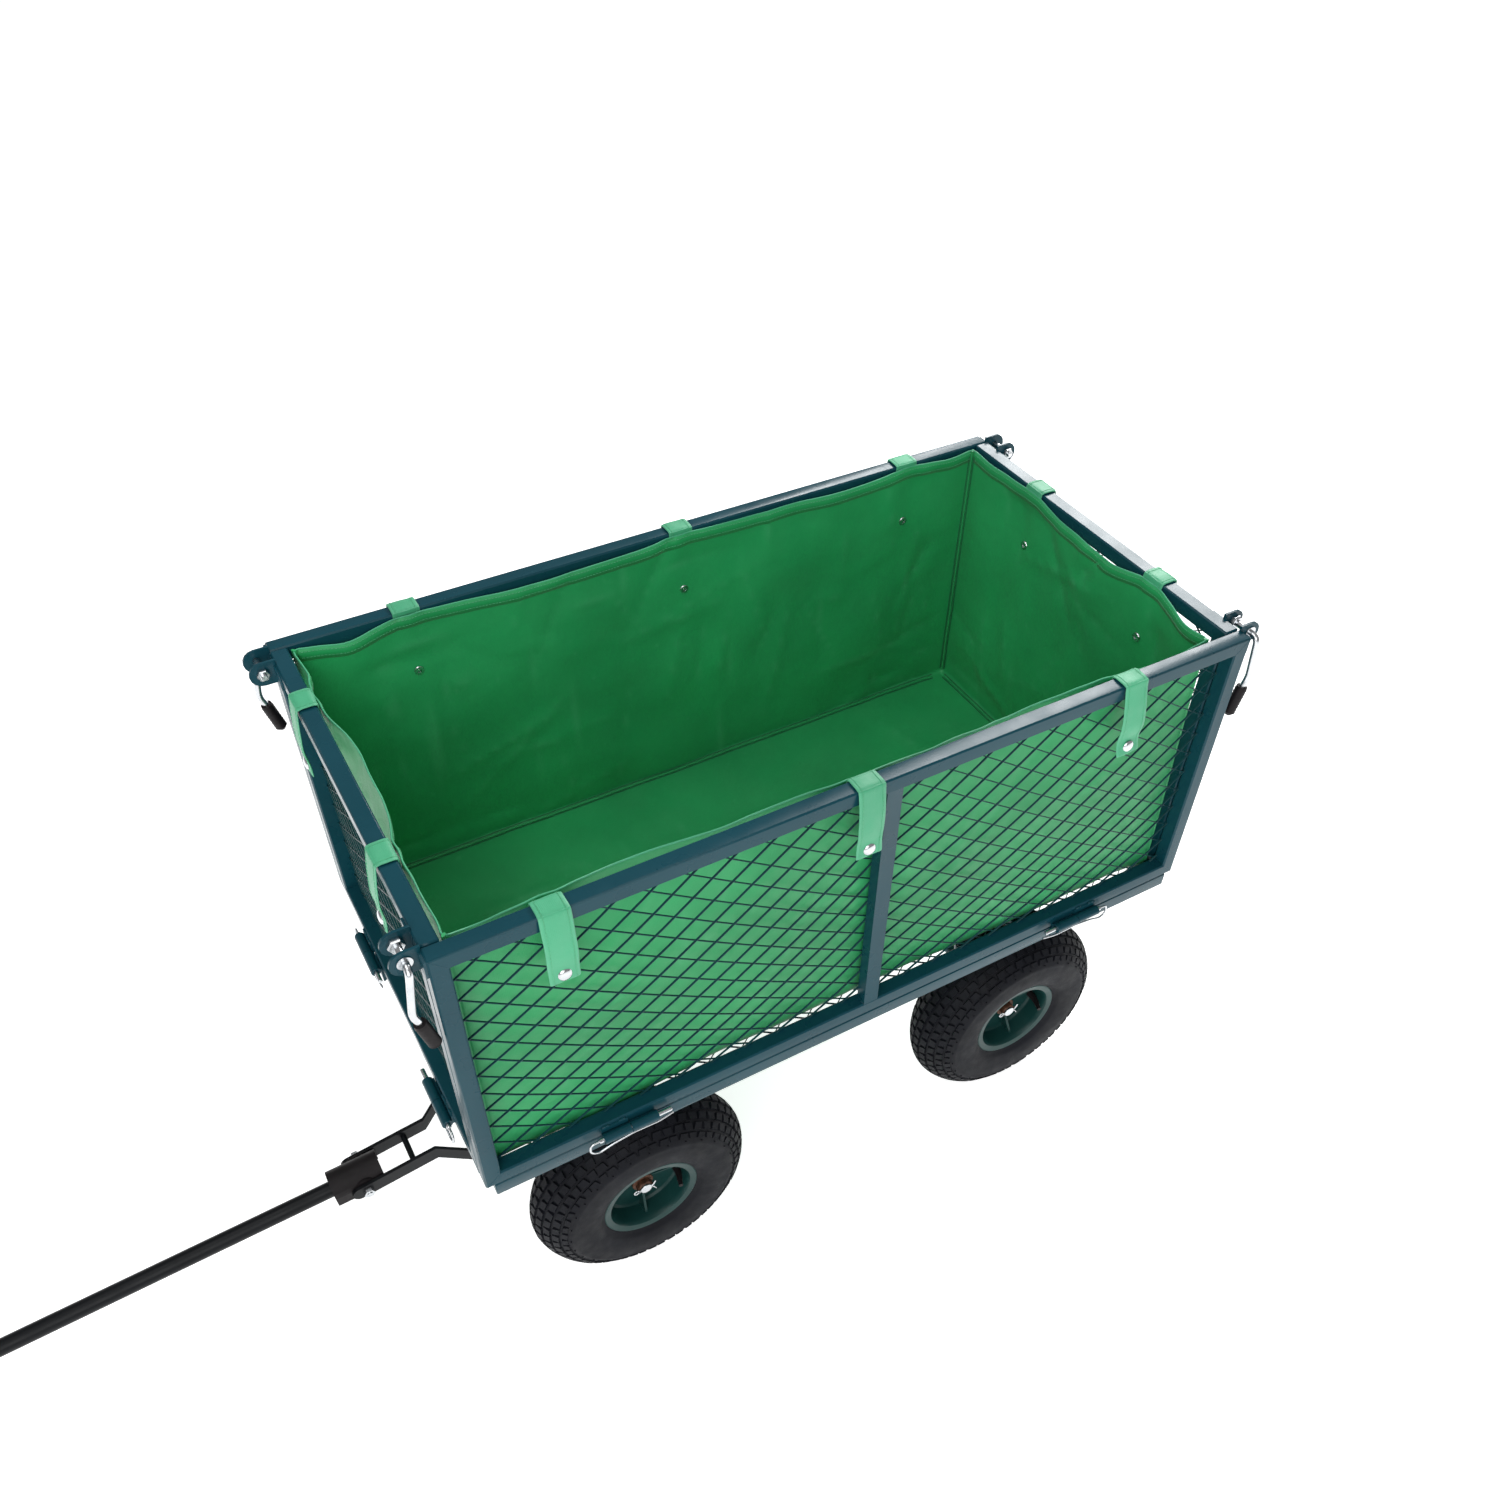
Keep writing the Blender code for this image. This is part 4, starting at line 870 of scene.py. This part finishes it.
def build_wheels():
    blocks = tread_blocks()
    for end, x in (("front", FRONT_X), ("rear", REAR_X)):
        for side, y, out in (("near", -WHEEL_Y, -1), ("far", WHEEL_Y, 1)):
            name = end + "_" + side
            hub = CART @ Matrix.Translation((x, y, WHEEL_R))
            lay = hub @ Matrix.Rotation(-math.pi / 2, 4, "X")
            build_tyre(name, hub, lay, blocks)
            build_rim(name, hub, lay, out)
            build_hub(name, hub, out)
            build_axle_end(name, x, y, out)


# ---------------------------------------------------------------- towing gear
BAR_END = SHAFT_LEN + 0.0945
HANDLE_HALF = 0.056
GRIP_HALF = 0.042


def along_shaft(distance, y=0.0, lift=0.0):
    px, pz = FORK_PIVOT
    c = math.cos(SHAFT_TILT)
    s = math.sin(SHAFT_TILT)
    return Vector((px - distance * c - lift * s, y, pz - distance * s + lift * c))


def build_bar():
    """Tow tube with the two arms of its loop handle and the clevis plates at its outer end."""
    tube = Soup()
    ends = [along_shaft(d) for d in (-0.014, -0.013, SHAFT_LEN - 0.001, SHAFT_LEN)]
    tube.sweep(ends, [0.0100, 0.0110, 0.0110, 0.0100], 32, CART)
    for hand in (-1, 1):
        arm = ((SHAFT_LEN - 0.006, 0.001), (SHAFT_LEN + 0.016, 0.014), (SHAFT_LEN + 0.048, 0.050),
               (SHAFT_LEN + 0.062, HANDLE_HALF), (BAR_END, HANDLE_HALF), (BAR_END, 0))
        tube.sweep(rounded([along_shaft(d, hand * y) for d, y in arm], 0.0105, 6), 0.0055, 16, CART)
    low = along_shaft(SHAFT_LEN - 0.055, 0, 0.005)
    high = along_shaft(SHAFT_LEN - 0.010, 0, 0.032)
    x0, x1 = sorted((low.x, high.x))
    plates = Soup()
    plates.box(x1 - 0.008, x1, -0.014, 0.014, low.z - 0.004, high.z, CART)
    plates.box(x0 - 0.006, x1 - 0.0005, -0.014, 0.014, high.z - 0.005, high.z, CART)
    plates.piece("tow_clevis", "black_steel", "tow_handle", bevel=0.0009)
    foot, head = [along_shaft(SHAFT_LEN - 0.002, y, 0.004) for y in (-0.008, 0.008)]
    tube.bead(foot, head, 0.0026, CART, 71)
    tube.piece("tow_bar", "black_steel", "tow_handle", stands_for=("tow_tube",))


def build_sleeve():
    """Ribbed grip sleeve round the cross bar of the handle."""
    count = 34
    points = [along_shaft(BAR_END, -GRIP_HALF + 2 * GRIP_HALF * k / count) for k in range(count + 1)]
    radii = [0.0106 if k % 2 else 0.0113 for k in range(count + 1)]
    radii[0] = radii[-1] = 0.0088
    radii[1] = radii[-2] = 0.0112
    grip = Soup()
    grip.sweep(points, radii, 28, CART)
    grip.piece("handle_sleeve", "grip_plastic", "tow_handle", stands_for=("handle_grip",))


def build_towing():
    build_bar()
    refine("saddle_cap", "grip_plastic", frame_body("saddle_cap"), 0.0005, 30)
    refine("pivot_bolt", "zinc", frame_body("pivot_bolt"), 0.0006)
    build_sleeve()
    mid = SHAFT_LEN - 0.030
    pin = Soup()
    for low, high, radius, sides, edge in ((-0.0130, 0.0400, 0.0059, 24, 0.0010),
                                           (0.0385, 0.0435, 0.0105, 28, 0.0008)):
        pin.rod(along_shaft(mid, 0, low), along_shaft(mid, 0, high), radius, sides, CART, edge)
    pin.piece("hitch_pin_bar", "zinc", "hitch_pin", stands_for=("hitch_pin",))
# ---------------------------------------------------------------- liner
X0, X1 = -0.4765, 0.4750
Y0, Y1 = -0.2425, 0.2450
FLOOR = RAIL_LOW + BED_RAIL + 0.0045
RIM = TOP - 0.0040
STRAPS = {"near": (-0.377, -0.027, 0.325), "far": (-0.340, 0.020, 0.365),
          "front": (-0.118, 0.144), "rear": (-0.122, 0.113)}
SPAN = {"near": (X0, X1), "far": (X0, X1), "front": (Y0, Y1), "rear": (Y0, Y1)}
FALL = {"near": (0.010, 0.015, 0.012, 0.010), "far": (0.007, 0.005, 0.004, 0.003),
        "front": (0.008, 0.016, 0.010), "rear": (0.005, 0.010, 0.003)}
BOW = {"near": (0.006, 0.021, 0.016, 0.007), "far": (0.0045, 0.0030, 0.0020, 0.0010),
       "front": (0.003, 0.012, 0.008), "rear": (0.001, 0.004, 0.001)}
LOWER = {"near": 0.022, "far": 0.006, "front": 0.014, "rear": 0.007}
OUTWARD = {"near": 0.0085, "far": 0.0020, "front": 0.0020, "rear": 0.0020}
CORNERS = (("near", X0, "front"), ("near", X1, "rear"), ("far", X0, "front"), ("far", X1, "rear"))
ARC_ROWS = 5
WALL_ROWS = 46
RIM_ROW = ARC_ROWS + WALL_ROWS
NX, NY = 116, 62


def smooth_step(a, b, x):
    t = min(1.0, max(0.0, (x - a) / (b - a)))
    return t * t * (3 - 2 * t)


def hang(side, s, amounts):
    """How far the hem gives way between its straps at s."""
    stops = [SPAN[side][0]] + list(STRAPS[side]) + [SPAN[side][1]]
    for i, (a, b) in enumerate(zip(stops, stops[1:])):
        if a <= s <= b:
            flat = 0.016
            lo = a + (flat if i else 0.0)
            hi = b - (flat if i + 2 < len(stops) else 0.0)
            t = min(1.0, max(0.0, (s - lo) / (hi - lo)))
            ripple = 0.25 * math.sin(3 * math.pi * t + i * 1.7 + len(side))
            return amounts[i] * bulge(t) ** 0.8 * (1 + ripple)
    return 0.0


def make_creases(seed, count, length, high):
    """Random fold lines over an unrolled wall of that length and height."""
    rng = random.Random(seed)
    out = []
    for _ in range(count):
        angle = rng.choice((rng.uniform(-0.4, 0.4), rng.uniform(0.6, 2.4),
                            math.pi / 2 + rng.uniform(-0.25, 0.25)))
        spot = (rng.uniform(-length / 2, length / 2), rng.uniform(0, high))
        half, wide = rng.uniform(0.03, 0.14), rng.uniform(0.005, 0.018)
        tall = rng.choice((-1, 1)) * rng.uniform(0.0010, 0.0038)
        out.append((*spot, math.cos(angle), math.sin(angle), half, wide, tall))
    return out


CREASES = {"near": make_creases(11, 46, 0.92, 0.39), "far": make_creases(12, 60, 0.92, 0.39),
           "front": make_creases(13, 26, 0.48, 0.39), "rear": make_creases(14, 34, 0.48, 0.39),
           "floor": make_creases(15, 40, 0.92, 0.24)}


def creased(which, s, h):
    """Displacement and whitening of the fold lines at a spot."""
    lift = 0.0
    white = 0.0
    for cx, cy, dx, dy, half, wide, tall in CREASES[which]:
        px, py = s - cx, h - cy
        run = px * dx + py * dy
        if abs(run) > half:
            continue
        off = abs(px * dy - py * dx)
        if off > wide * 2.5:
            continue
        window = 1 - (run / half) ** 2
        tent = math.exp(-off / wide)
        lift += tall * tent * window
        white += 0.16 * window * math.exp(-(off / 0.0016) ** 2)
    return lift, white


def middle(side):
    """Middle and half length of a wall."""
    return (SPAN[side][0] + SPAN[side][1]) / 2, (SPAN[side][1] - SPAN[side][0]) / 2


def inset(side, s, z):
    """Inward displacement of a wall at s along it and height z, and its whitening."""
    edge = RIM - hang(side, s, FALL[side])
    down = edge - z
    bow = hang(side, s, BOW[side]) * math.exp(-(down / 0.075) ** 1.4)
    mid, half = middle(side)
    across = max(0.0, 1 - abs((s - mid) / half) ** 4)
    level = max(0.0, min(1.0, (z - FLOOR) / (RIM - FLOOR)))
    push = OUTWARD[side] * across * bulge(level) ** 0.7
    if side == "near":
        push *= 0.25 + 0.75 * smooth_step(0.01, 0.15, abs(s - 0.005))
    key = SIDES.index(side)
    soft = noise.noise(Vector((s * 5.5 + z * 3.0, z * 6.5 - s * 2.0, key * 9.1))) * 0.0060
    soft += noise.noise(Vector((s * 17 + z * 9, z * 11 - s * 8, key * 5.3))) * 0.0024
    folds = 0.0
    for n, anchor in enumerate(STRAPS[side]):
        gap = s - anchor
        fan = gap / (0.020 + max(0.0, down) * 0.55)
        if abs(fan) < 3:
            folds += 0.0020 * math.cos(fan * 3.1 + n) * math.exp(-fan * fan) * math.exp(-down / 0.11)
    if side == "rear":
        bow += 0.016 * smooth_step(-0.135, -0.235, s) * smooth_step(FLOOR - 0.05, RIM, z)
    crease, white = creased(side, s - mid, z - FLOOR)
    fade = min(1.0, (half - abs(s - mid)) / 0.03)
    return bow - push + (soft + folds) * fade + crease * (0.3 + 0.7 * fade), white


def lower_radius(side, s):
    """Radius of the turn from wall to floor, even at the corners."""
    mid, half = middle(side)
    radius = LOWER[side]
    if side == "near":
        radius = 0.005 + (LOWER[side] - 0.005) * smooth_step(-0.34, -0.20, s)
    return 0.008 + (radius - 0.008) * smooth_step(0.0, 0.07, half - abs(s - mid))


def wall_spot(side, s, row):
    """Distance in from the wall's plane, height and whitening of one point of the net."""
    radius = lower_radius(side, s)
    if row <= ARC_ROWS:
        a = math.pi / 2 * row / ARC_ROWS
        z = FLOOR + radius * (1 - math.cos(a))
        corner = radius * (1 - math.sin(a))
    else:
        t = (row - ARC_ROWS) / WALL_ROWS
        edge = RIM - hang(side, s, FALL[side])
        z = FLOOR + radius + (edge - FLOOR - radius) * t
        corner = 0.0
    into, white = inset(side, s, z)
    ease = smooth_step(0.0, 1.0, row / ARC_ROWS)
    depth = corner + into * (0.25 + 0.75 * ease)
    if z < PANEL_LOW + TUBE + 0.008 or z > TOP - TUBE - 0.008:
        depth = max(depth, -0.0016)
    return depth, z, white


def wall_point(side, s, row):
    """Row-frame point of a wall, matched to its neighbours at the corners, and its whitening."""
    depth, z, white = wall_spot(side, s, row)
    if side in LONG:
        y_end = Y0 if side == "near" else Y1
        front = X0 + wall_spot("front", y_end, row)[0]
        rear = X1 - wall_spot("rear", y_end, row)[0]
        x = front + (s - X0) / (X1 - X0) * (rear - front)
        y = (Y0 + depth) if side == "near" else (Y1 - depth)
        return Vector((x + SX, y, z)), white
    x_end = X0 if side == "front" else X1
    near = Y0 + wall_spot("near", x_end, row)[0]
    far = Y1 - wall_spot("far", x_end, row)[0]
    y = near + (s - Y0) / (Y1 - Y0) * (far - near)
    x = (X0 + depth) if side == "front" else (X1 - depth)
    return Vector((x + SX, y, z)), white


def wall_loop():
    """Places once round the liner's walls, as (side, distance along it)."""
    loop = [("near", X0 + (X1 - X0) * i / NX) for i in range(NX)]
    loop += [("rear", Y0 + (Y1 - Y0) * i / NY) for i in range(NY)]
    loop += [("far", X1 - (X1 - X0) * i / NX) for i in range(NX)]
    return loop + [("front", Y1 - (Y1 - Y0) * i / NY) for i in range(NY)]


def floor_outline():
    """Index of the wall loop's point at every grid place on the floor's outline."""
    places = [(k, 0) for k in range(NX)] + [(NX, k) for k in range(NY)]
    places += [(NX - k, NY) for k in range(NX)] + [(0, NY - k) for k in range(NY)]
    return {place: k for k, place in enumerate(places)}


def add_floor(verts, whites, faces):
    """The liner's floor inside the lowest row of the walls."""
    ring = floor_outline()
    grid = dict(ring)
    for i in range(NX + 1):
        for j in range(NY + 1):
            if (i, j) in ring:
                continue
            u, v = i / NX, j / NY
            left, right = verts[ring[(0, j)]], verts[ring[(NX, j)]]
            low, high = verts[ring[(i, 0)]], verts[ring[(i, NY)]]
            x = left.x + (right.x - left.x) * u
            y = low.y + (high.y - low.y) * v
            lift, white = creased("floor", X0 + (X1 - X0) * u, (v - 0.5) * 0.48 + 0.12)
            edge = min(u * 11, (1 - u) * 11, v * 6, (1 - v) * 6, 1.0)
            rise = 0.0022 + 0.0026 * noise.noise(Vector((x * 7, y * 7, 3.3))) + abs(lift) * 1.2
            grid[(i, j)] = len(verts)
            verts.append(Vector((x, y, FLOOR + edge * rise)))
            whites.append(white * edge)
    for i in range(NX):
        for j in range(NY):
            faces.append((grid[(i, j)], grid[(i, j + 1)], grid[(i + 1, j + 1)], grid[(i + 1, j)]))


def unwrap(mesh, wall_faces):
    """Cloth coordinates in metres: floor from above, walls from their own side."""
    uv = mesh.uv_layers.new(name="UVMap")
    for poly in mesh.polygons:
        for corner, vert in zip(poly.loop_indices, poly.vertices):
            co = mesh.vertices[vert].co
            if poly.index >= wall_faces:
                uv.data[corner].uv = (co.x, co.y)
            elif abs(poly.normal.y) > abs(poly.normal.x):
                uv.data[corner].uv = (co.x, co.z)
            else:
                uv.data[corner].uv = (co.y, co.z)


def whiten(mesh, values):
    """The fold attribute that the fabric's colour reads."""
    mesh.attributes.new("fold", "FLOAT", "POINT").data.foreach_set("value", values)


def build_liner(loop):
    spots = [wall_point(side, s, row) for row in range(RIM_ROW + 1) for side, s in loop]
    verts = [point for point, _ in spots]
    whites = [white for _, white in spots]
    faces = grid_faces(RIM_ROW + 1, len(loop))
    wall_faces = len(faces)
    add_floor(verts, whites, faces)
    mesh = bpy.data.meshes.new("liner_cloth")
    mesh.from_pydata([tuple(v) for v in verts], [], faces)
    whiten(mesh, [min(0.45, w) for w in whites])
    unwrap(mesh, wall_faces)
    turn_outward(mesh)
    liner = settle(mesh, "liner_cloth", "liner_fabric", "liner", None, ("liner",), 180)
    thicken(liner, 0.0010)
    return liner


def build_binding(loop):
    """Round edge tape along the rim."""
    band = [wall_point(side, s, RIM_ROW)[0] for side, s in loop]
    path = []
    for k, here in enumerate(band):
        path.append((band[k - 1] + here * 2 + band[(k + 1) % len(band)]) / 4 + Vector((0, 0, 0.0002)))
    tape = Soup()
    tape.sweep(path, 0.00105, 8, closed=True)
    return tape.piece("liner_binding", "strap_fabric", "liner")


def build_hem(loop):
    """Turned hem inside the rim, and the two lines of stitches along it."""
    total = len(loop)
    inner = []
    for back in (0, 1, 2):
        inner.append([wall_point(side, s, RIM_ROW - back)[0] + INWARD[side] * 0.0008 for side, s in loop])
    fold = Soup()
    fold.add(inner[0] + inner[1] + inner[2], grid_faces(3, total))
    piece = fold.piece("liner_hem", "liner_fabric", "liner", angle=180)
    thicken(piece, 0.0005, False)
    stitches = Soup()
    for upper, lower in zip(inner, inner[1:]):
        for k in range(total):
            m = (k + 1) % total
            if loop[k][0] != loop[m][0]:
                continue
            a = upper[k].lerp(lower[k], 0.45)
            b = upper[m].lerp(lower[m], 0.45)
            lift = INWARD[loop[k][0]] * 0.0007
            for t0, t1 in ((0.08, 0.42), (0.58, 0.92)):
                stitches.sweep([a.lerp(b, t0) + lift, a.lerp(b, t1) + lift], 0.00032, 5)
    stitches.piece("liner_stitches", "thread_light", "liner")
    return piece


def foot_line(side, steps, inward, lift):
    """Path along the foot of a wall, set in from it and above it."""
    lo, hi = SPAN[side]
    points = []
    for k in range(steps + 1):
        p = wall_point(side, lo + (hi - lo) * (0.02 + 0.96 * k / steps), 1)[0]
        points.append(p + INWARD[side] * inward + Vector((0, 0, lift)))
    return points


def build_seams():
    """Raised seams up the corners and along the floor, each between two dark lines of painted seam shadow.
    """
    seams = Soup()
    for side, s, other in CORNERS:
        way = INWARD[side] + INWARD[other]
        points = [wall_point(side, s, row)[0] + way.normalized() * 0.0032
                  for row in range(ARC_ROWS, RIM_ROW + 1, 2)]
        seams.sweep(curve(points, 2), 0.0017, 8, wide=1.9, up=way)
    for side in SIDES:
        seams.sweep(foot_line(side, 40, 0.002, 0.0022), 0.0013, 8)
    seams.piece("liner_seams", "liner_fabric", "liner")
    # Two thin dark strips beside each seam, one on the floor and one up the wall: painted seam shadow.
    lines = Soup()
    for side in SIDES:
        for inward, lift in ((0.0046, 0.0010), (0.0004, 0.0052)):
            lines.sweep(foot_line(side, 60, inward, lift), 0.0007, 6)
    for side, s, other in CORNERS:
        for a, b in ((0.0060, 0.0014), (0.0014, 0.0060)):
            points = []
            for row in range(ARC_ROWS, RIM_ROW + 1, 3):
                points.append(wall_point(side, s, row)[0] + INWARD[other] * a + INWARD[side] * b)
            lines.sweep(curve(points, 2), 0.0006, 6)
    lines.piece("liner_seam_shadow_lines", "painted_seam_shadow", "liner")


# ---------------------------------------------------------------- straps
WALL_GAP = {"near": HALF_W + Y0, "far": HALF_W - Y1, "front": HALF_L + X0, "rear": HALF_L - X1}
CURL = {("near", 0): 0.002, ("near", 1): 0.003, ("near", 2): 0.010}
STRAP_HALF = 0.0170
STRAP_COLS = 9


def strap_path(side, curl):
    """Middle line of a strap, as (distance in from the panel's face, height): up, over and down."""
    inside = WALL_GAP[side] + 0.0024
    return curve([
        (inside - 0.0048, TOP - 0.0160, 0), (inside - 0.0050, TOP - 0.0110, 0),
        (inside - 0.0052, TOP - 0.0050, 0), (max(inside - 0.0075, 0.0205), TOP - 0.0002, 0),
        (TUBE - 0.0025, TOP + 0.0021, 0), (0.010, TOP + 0.0022, 0), (0.0016, TOP + 0.0018, 0),
        (-0.0018, TOP - 0.0010, 0), (-0.0031, TOP - 0.008, 0), (-0.0052 - curl * 0.3, TOP - 0.030, 0),
        (-0.0056 - curl * 0.6, TOP - 0.055, 0), (-0.0046 - curl * 0.5, TOP - 0.075, 0),
        (-0.0042 - curl, TOP - 0.0930, 0)], 5)


def strap_grid(path, spot, key):
    """Points across a strap along its path, with a soft ripple, and their whitening."""
    verts = []
    whites = []
    run = 0.0
    for i, p in enumerate(path):
        if i:
            run += (p - path[i - 1]).length
        d = (path[min(len(path) - 1, i + 1)] - path[max(0, i - 1)]).normalized()
        normal = Vector((d.y, -d.x, 0))
        for j in range(STRAP_COLS):
            t = j / (STRAP_COLS - 1) * 2 - 1
            x = spot + t * STRAP_HALF * (1 - 0.02 * abs(math.sin(run * 60 + key)))
            ripple = noise.noise(Vector((t * 1.2, run * 26, key))) * (0.0007 if run < 0.075 else 0.0014)
            q = p + normal * (ripple + 0.0004 * (1 - t * t))
            if TOP - 0.001 < q.y < TOP + 0.0014:
                q.y = max(q.y, TOP + 0.0012)
            verts.append((x, q.x, q.y))
            whites.append(0.25 if abs(t) > 0.9 else 0.0)
    return verts, whites


def build_band(name, verts, whites, rows, matrix):
    strap = Soup()
    strap.add(verts, grid_faces(rows, STRAP_COLS, wrap_cols=False), matrix)
    piece = strap.piece("strap_band_" + name, "strap_fabric", "liner",
                        stands_for=("strap_" + name,), angle=180)
    whiten(piece.data, whites)
    uv = piece.data.uv_layers.new(name="UVMap")
    for loop in piece.data.loops:
        i, j = divmod(loop.vertex_index, STRAP_COLS)
        uv.data[loop.index].uv = (j * 0.00425, i * 0.004)
    thicken(piece, 0.0016)
    return piece


def build_strap_stitches(name, verts, path, matrix):
    """A row of stitches near each edge of a strap, on both of its faces."""
    stitches = Soup()
    for share in (0.14, 0.86):
        t = share * (STRAP_COLS - 1)
        low = int(t)
        for i in range(len(path) - 1):
            rows = [verts[k * STRAP_COLS + low:][:2] for k in (i, i + 1)]
            a, b = [Vector(left).lerp(Vector(right), t - low) for left, right in rows]
            d = (path[i + 1] - path[i]).normalized()
            lift = Vector((0, d.y, -d.x)) * 0.00100
            for face in (-1, 1):
                stitches.sweep([a.lerp(b, 0.12) + lift * face, a.lerp(b, 0.80) + lift * face],
                               0.00030, 5, matrix)
    stitches.piece("strap_stitches_" + name, "thread_light", "liner")


def build_snap(name, path, spot, matrix):
    """Press stud cap on the strap's hanging end."""
    foot = path[-1].lerp(path[-6], 0.55)
    face = matrix @ facing((spot, foot.x - 0.0010, foot.y), (0, -1, 0.05))
    cap = [(0.0, 0.0028), (0.0030, 0.0027), (0.0056, 0.0021), (0.0072, 0.0010), (0.0077, 0.0),
           (0.0070, -0.0004)]
    snap = Soup()
    snap.turn(cap, face, 28)
    snap.piece("strap_snap_" + name, "zinc", "liner")


def build_socket(name, side, value):
    """The other half of the press stud, on the inside of the wall below the rim."""
    way = INWARD[side]
    z = TOP - 0.085
    depth = inset(side, value, z)[0]
    if side in LONG:
        here = Vector((value + SX, (Y0 if side == "near" else Y1) + way.y * depth, z))
    else:
        here = Vector(((X0 if side == "front" else X1) + SX + way.x * depth, value, z))
    face = facing(here + way * 0.0010, way)
    stud = Soup()
    stud.turn([(0.0024, -0.0004), (0.0026, 0.0012), (0.0040, 0.0016), (0.0056, 0.0011), (0.0062, 0.0)],
              face, 26)
    stud.turn([(0.0, 0.0003), (0.0016, 0.0003), (0.0022, -0.0002)], face, 18)
    stud.piece("liner_socket_" + name, "zinc", "liner")


def build_straps():
    holder = []
    for side in SIDES:
        matrix = turn_to(side)
        for n, value in enumerate(STRAPS[side]):
            name = side + "_" + "abc"[n]
            spot = along_side(side, value)
            key = SIDES.index(side) * 3 + n
            rng = random.Random(100 + key)
            path = strap_path(side, CURL.get((side, n), rng.uniform(0.001, 0.005)))
            verts, whites = strap_grid(path, spot, key)
            piece = build_band(name, verts, whites, len(path), matrix)
            build_strap_stitches(name, verts, path, matrix)
            build_snap(name, path, spot, matrix)
            build_socket(name, side, value)
            holder.append((piece, side))
    return holder


# ---------------------------------------------------------------- stage
# frame width, focal length and shift in the same unit, so only their ratios count
SHOT = 1500.0
FOCAL = 1313.701
SHIFT = (-18.825, 104.947)
SENSOR = 36.0
EYE = (-0.61941698 + SX, -1.0554257, 1.33057485 + RAIL_LOW)
VIEW_RIGHT = Vector((0.86668374, -0.49854259, 0.01773673))
VIEW_UP = Vector((0.34840232, 0.63035579, 0.69373438))
VIEW_BACK = Vector((-0.35703659, -0.59506879, 0.72001251))
WHITE = (1.0, 1.0, 1.0, 1.0)
FLOOR_HALF = 12
# lamps: name, place, aim, size, watts
LAMPS = (("key", (2.9, 2.0, 2.6), (0.6, 0.0, 0.6), 1.5, 130.0),
         ("fill", (-1.2, -2.4, 2.2), (0.3, 0.0, 0.4), 2.6, 58.0),
         ("top", (-0.6, 0.0, 3.4), (0.3, 0.0, 0.5), 2.0, 26.0))


def build_camera(scene):
    """The photograph's camera: focal length and shift in parts of a square frame."""
    camera = bpy.data.cameras.new("camera")
    eye = bpy.data.objects.new("camera", camera)
    scene.collection.objects.link(eye)
    turn = Matrix((VIEW_RIGHT, VIEW_UP, VIEW_BACK)).transposed().to_4x4()
    eye.matrix_world = Matrix.Translation(EYE) @ turn
    camera.sensor_fit = "HORIZONTAL"
    camera.sensor_width = SENSOR
    camera.lens = SENSOR * FOCAL / SHOT
    camera.shift_x = SHIFT[0] / SHOT
    camera.shift_y = SHIFT[1] / SHOT
    camera.clip_start = 0.05
    camera.clip_end = 50.0
    scene.camera = eye


def build_studio(scene):
    """White surroundings and a white floor that hardly shows a shadow."""
    world = bpy.data.worlds.new("studio")
    scene.world = world
    world.use_nodes = True
    sky = world.node_tree.nodes["Background"]
    sky.inputs["Color"].default_value = WHITE
    sky.inputs["Strength"].default_value = 0.32
    corners = [(x * FLOOR_HALF, y * FLOOR_HALF, 0) for x, y in ((-1, -1), (1, -1), (1, 1), (-1, 1))]
    floor_mesh = bpy.data.meshes.new("floor")
    floor_mesh.from_pydata(corners, [], [(0, 1, 2, 3)])
    floor = bpy.data.objects.new("floor", floor_mesh)
    scene.collection.objects.link(floor)
    mat, _, shader = nodes_of("studio_floor")
    shader.inputs["Base Color"].default_value = (0.92, 0.92, 0.92, 1.0)
    shader.inputs["Roughness"].default_value = 0.9
    shader.inputs["Emission Color"].default_value = WHITE
    shader.inputs["Emission Strength"].default_value = 0.72
    floor_mesh.materials.append(mat)


def build_lamps(scene):
    for name, place, aim, size, watts in LAMPS:
        lamp = bpy.data.lights.new(name, "AREA")
        lamp.shape = "SQUARE"
        lamp.size = size
        lamp.energy = watts
        obj = bpy.data.objects.new(name, lamp)
        obj.location = place
        obj.rotation_euler = (Vector(aim) - Vector(place)).to_track_quat("-Z", "Y").to_euler()
        scene.collection.objects.link(obj)


def build_stage():
    scene = bpy.context.scene
    build_camera(scene)
    build_studio(scene)
    build_lamps(scene)
    scene.view_settings.view_transform = "Standard"


build_panels()
build_bed()
build_steering()
build_latches()
build_pins()
build_wheels()
build_towing()
loop = wall_loop()
cloth = build_liner(loop)
binding = build_binding(loop)
hem = build_hem(loop)
build_seams()
straps = build_straps()
build_stage()

for piece, side in straps:
    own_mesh(piece)
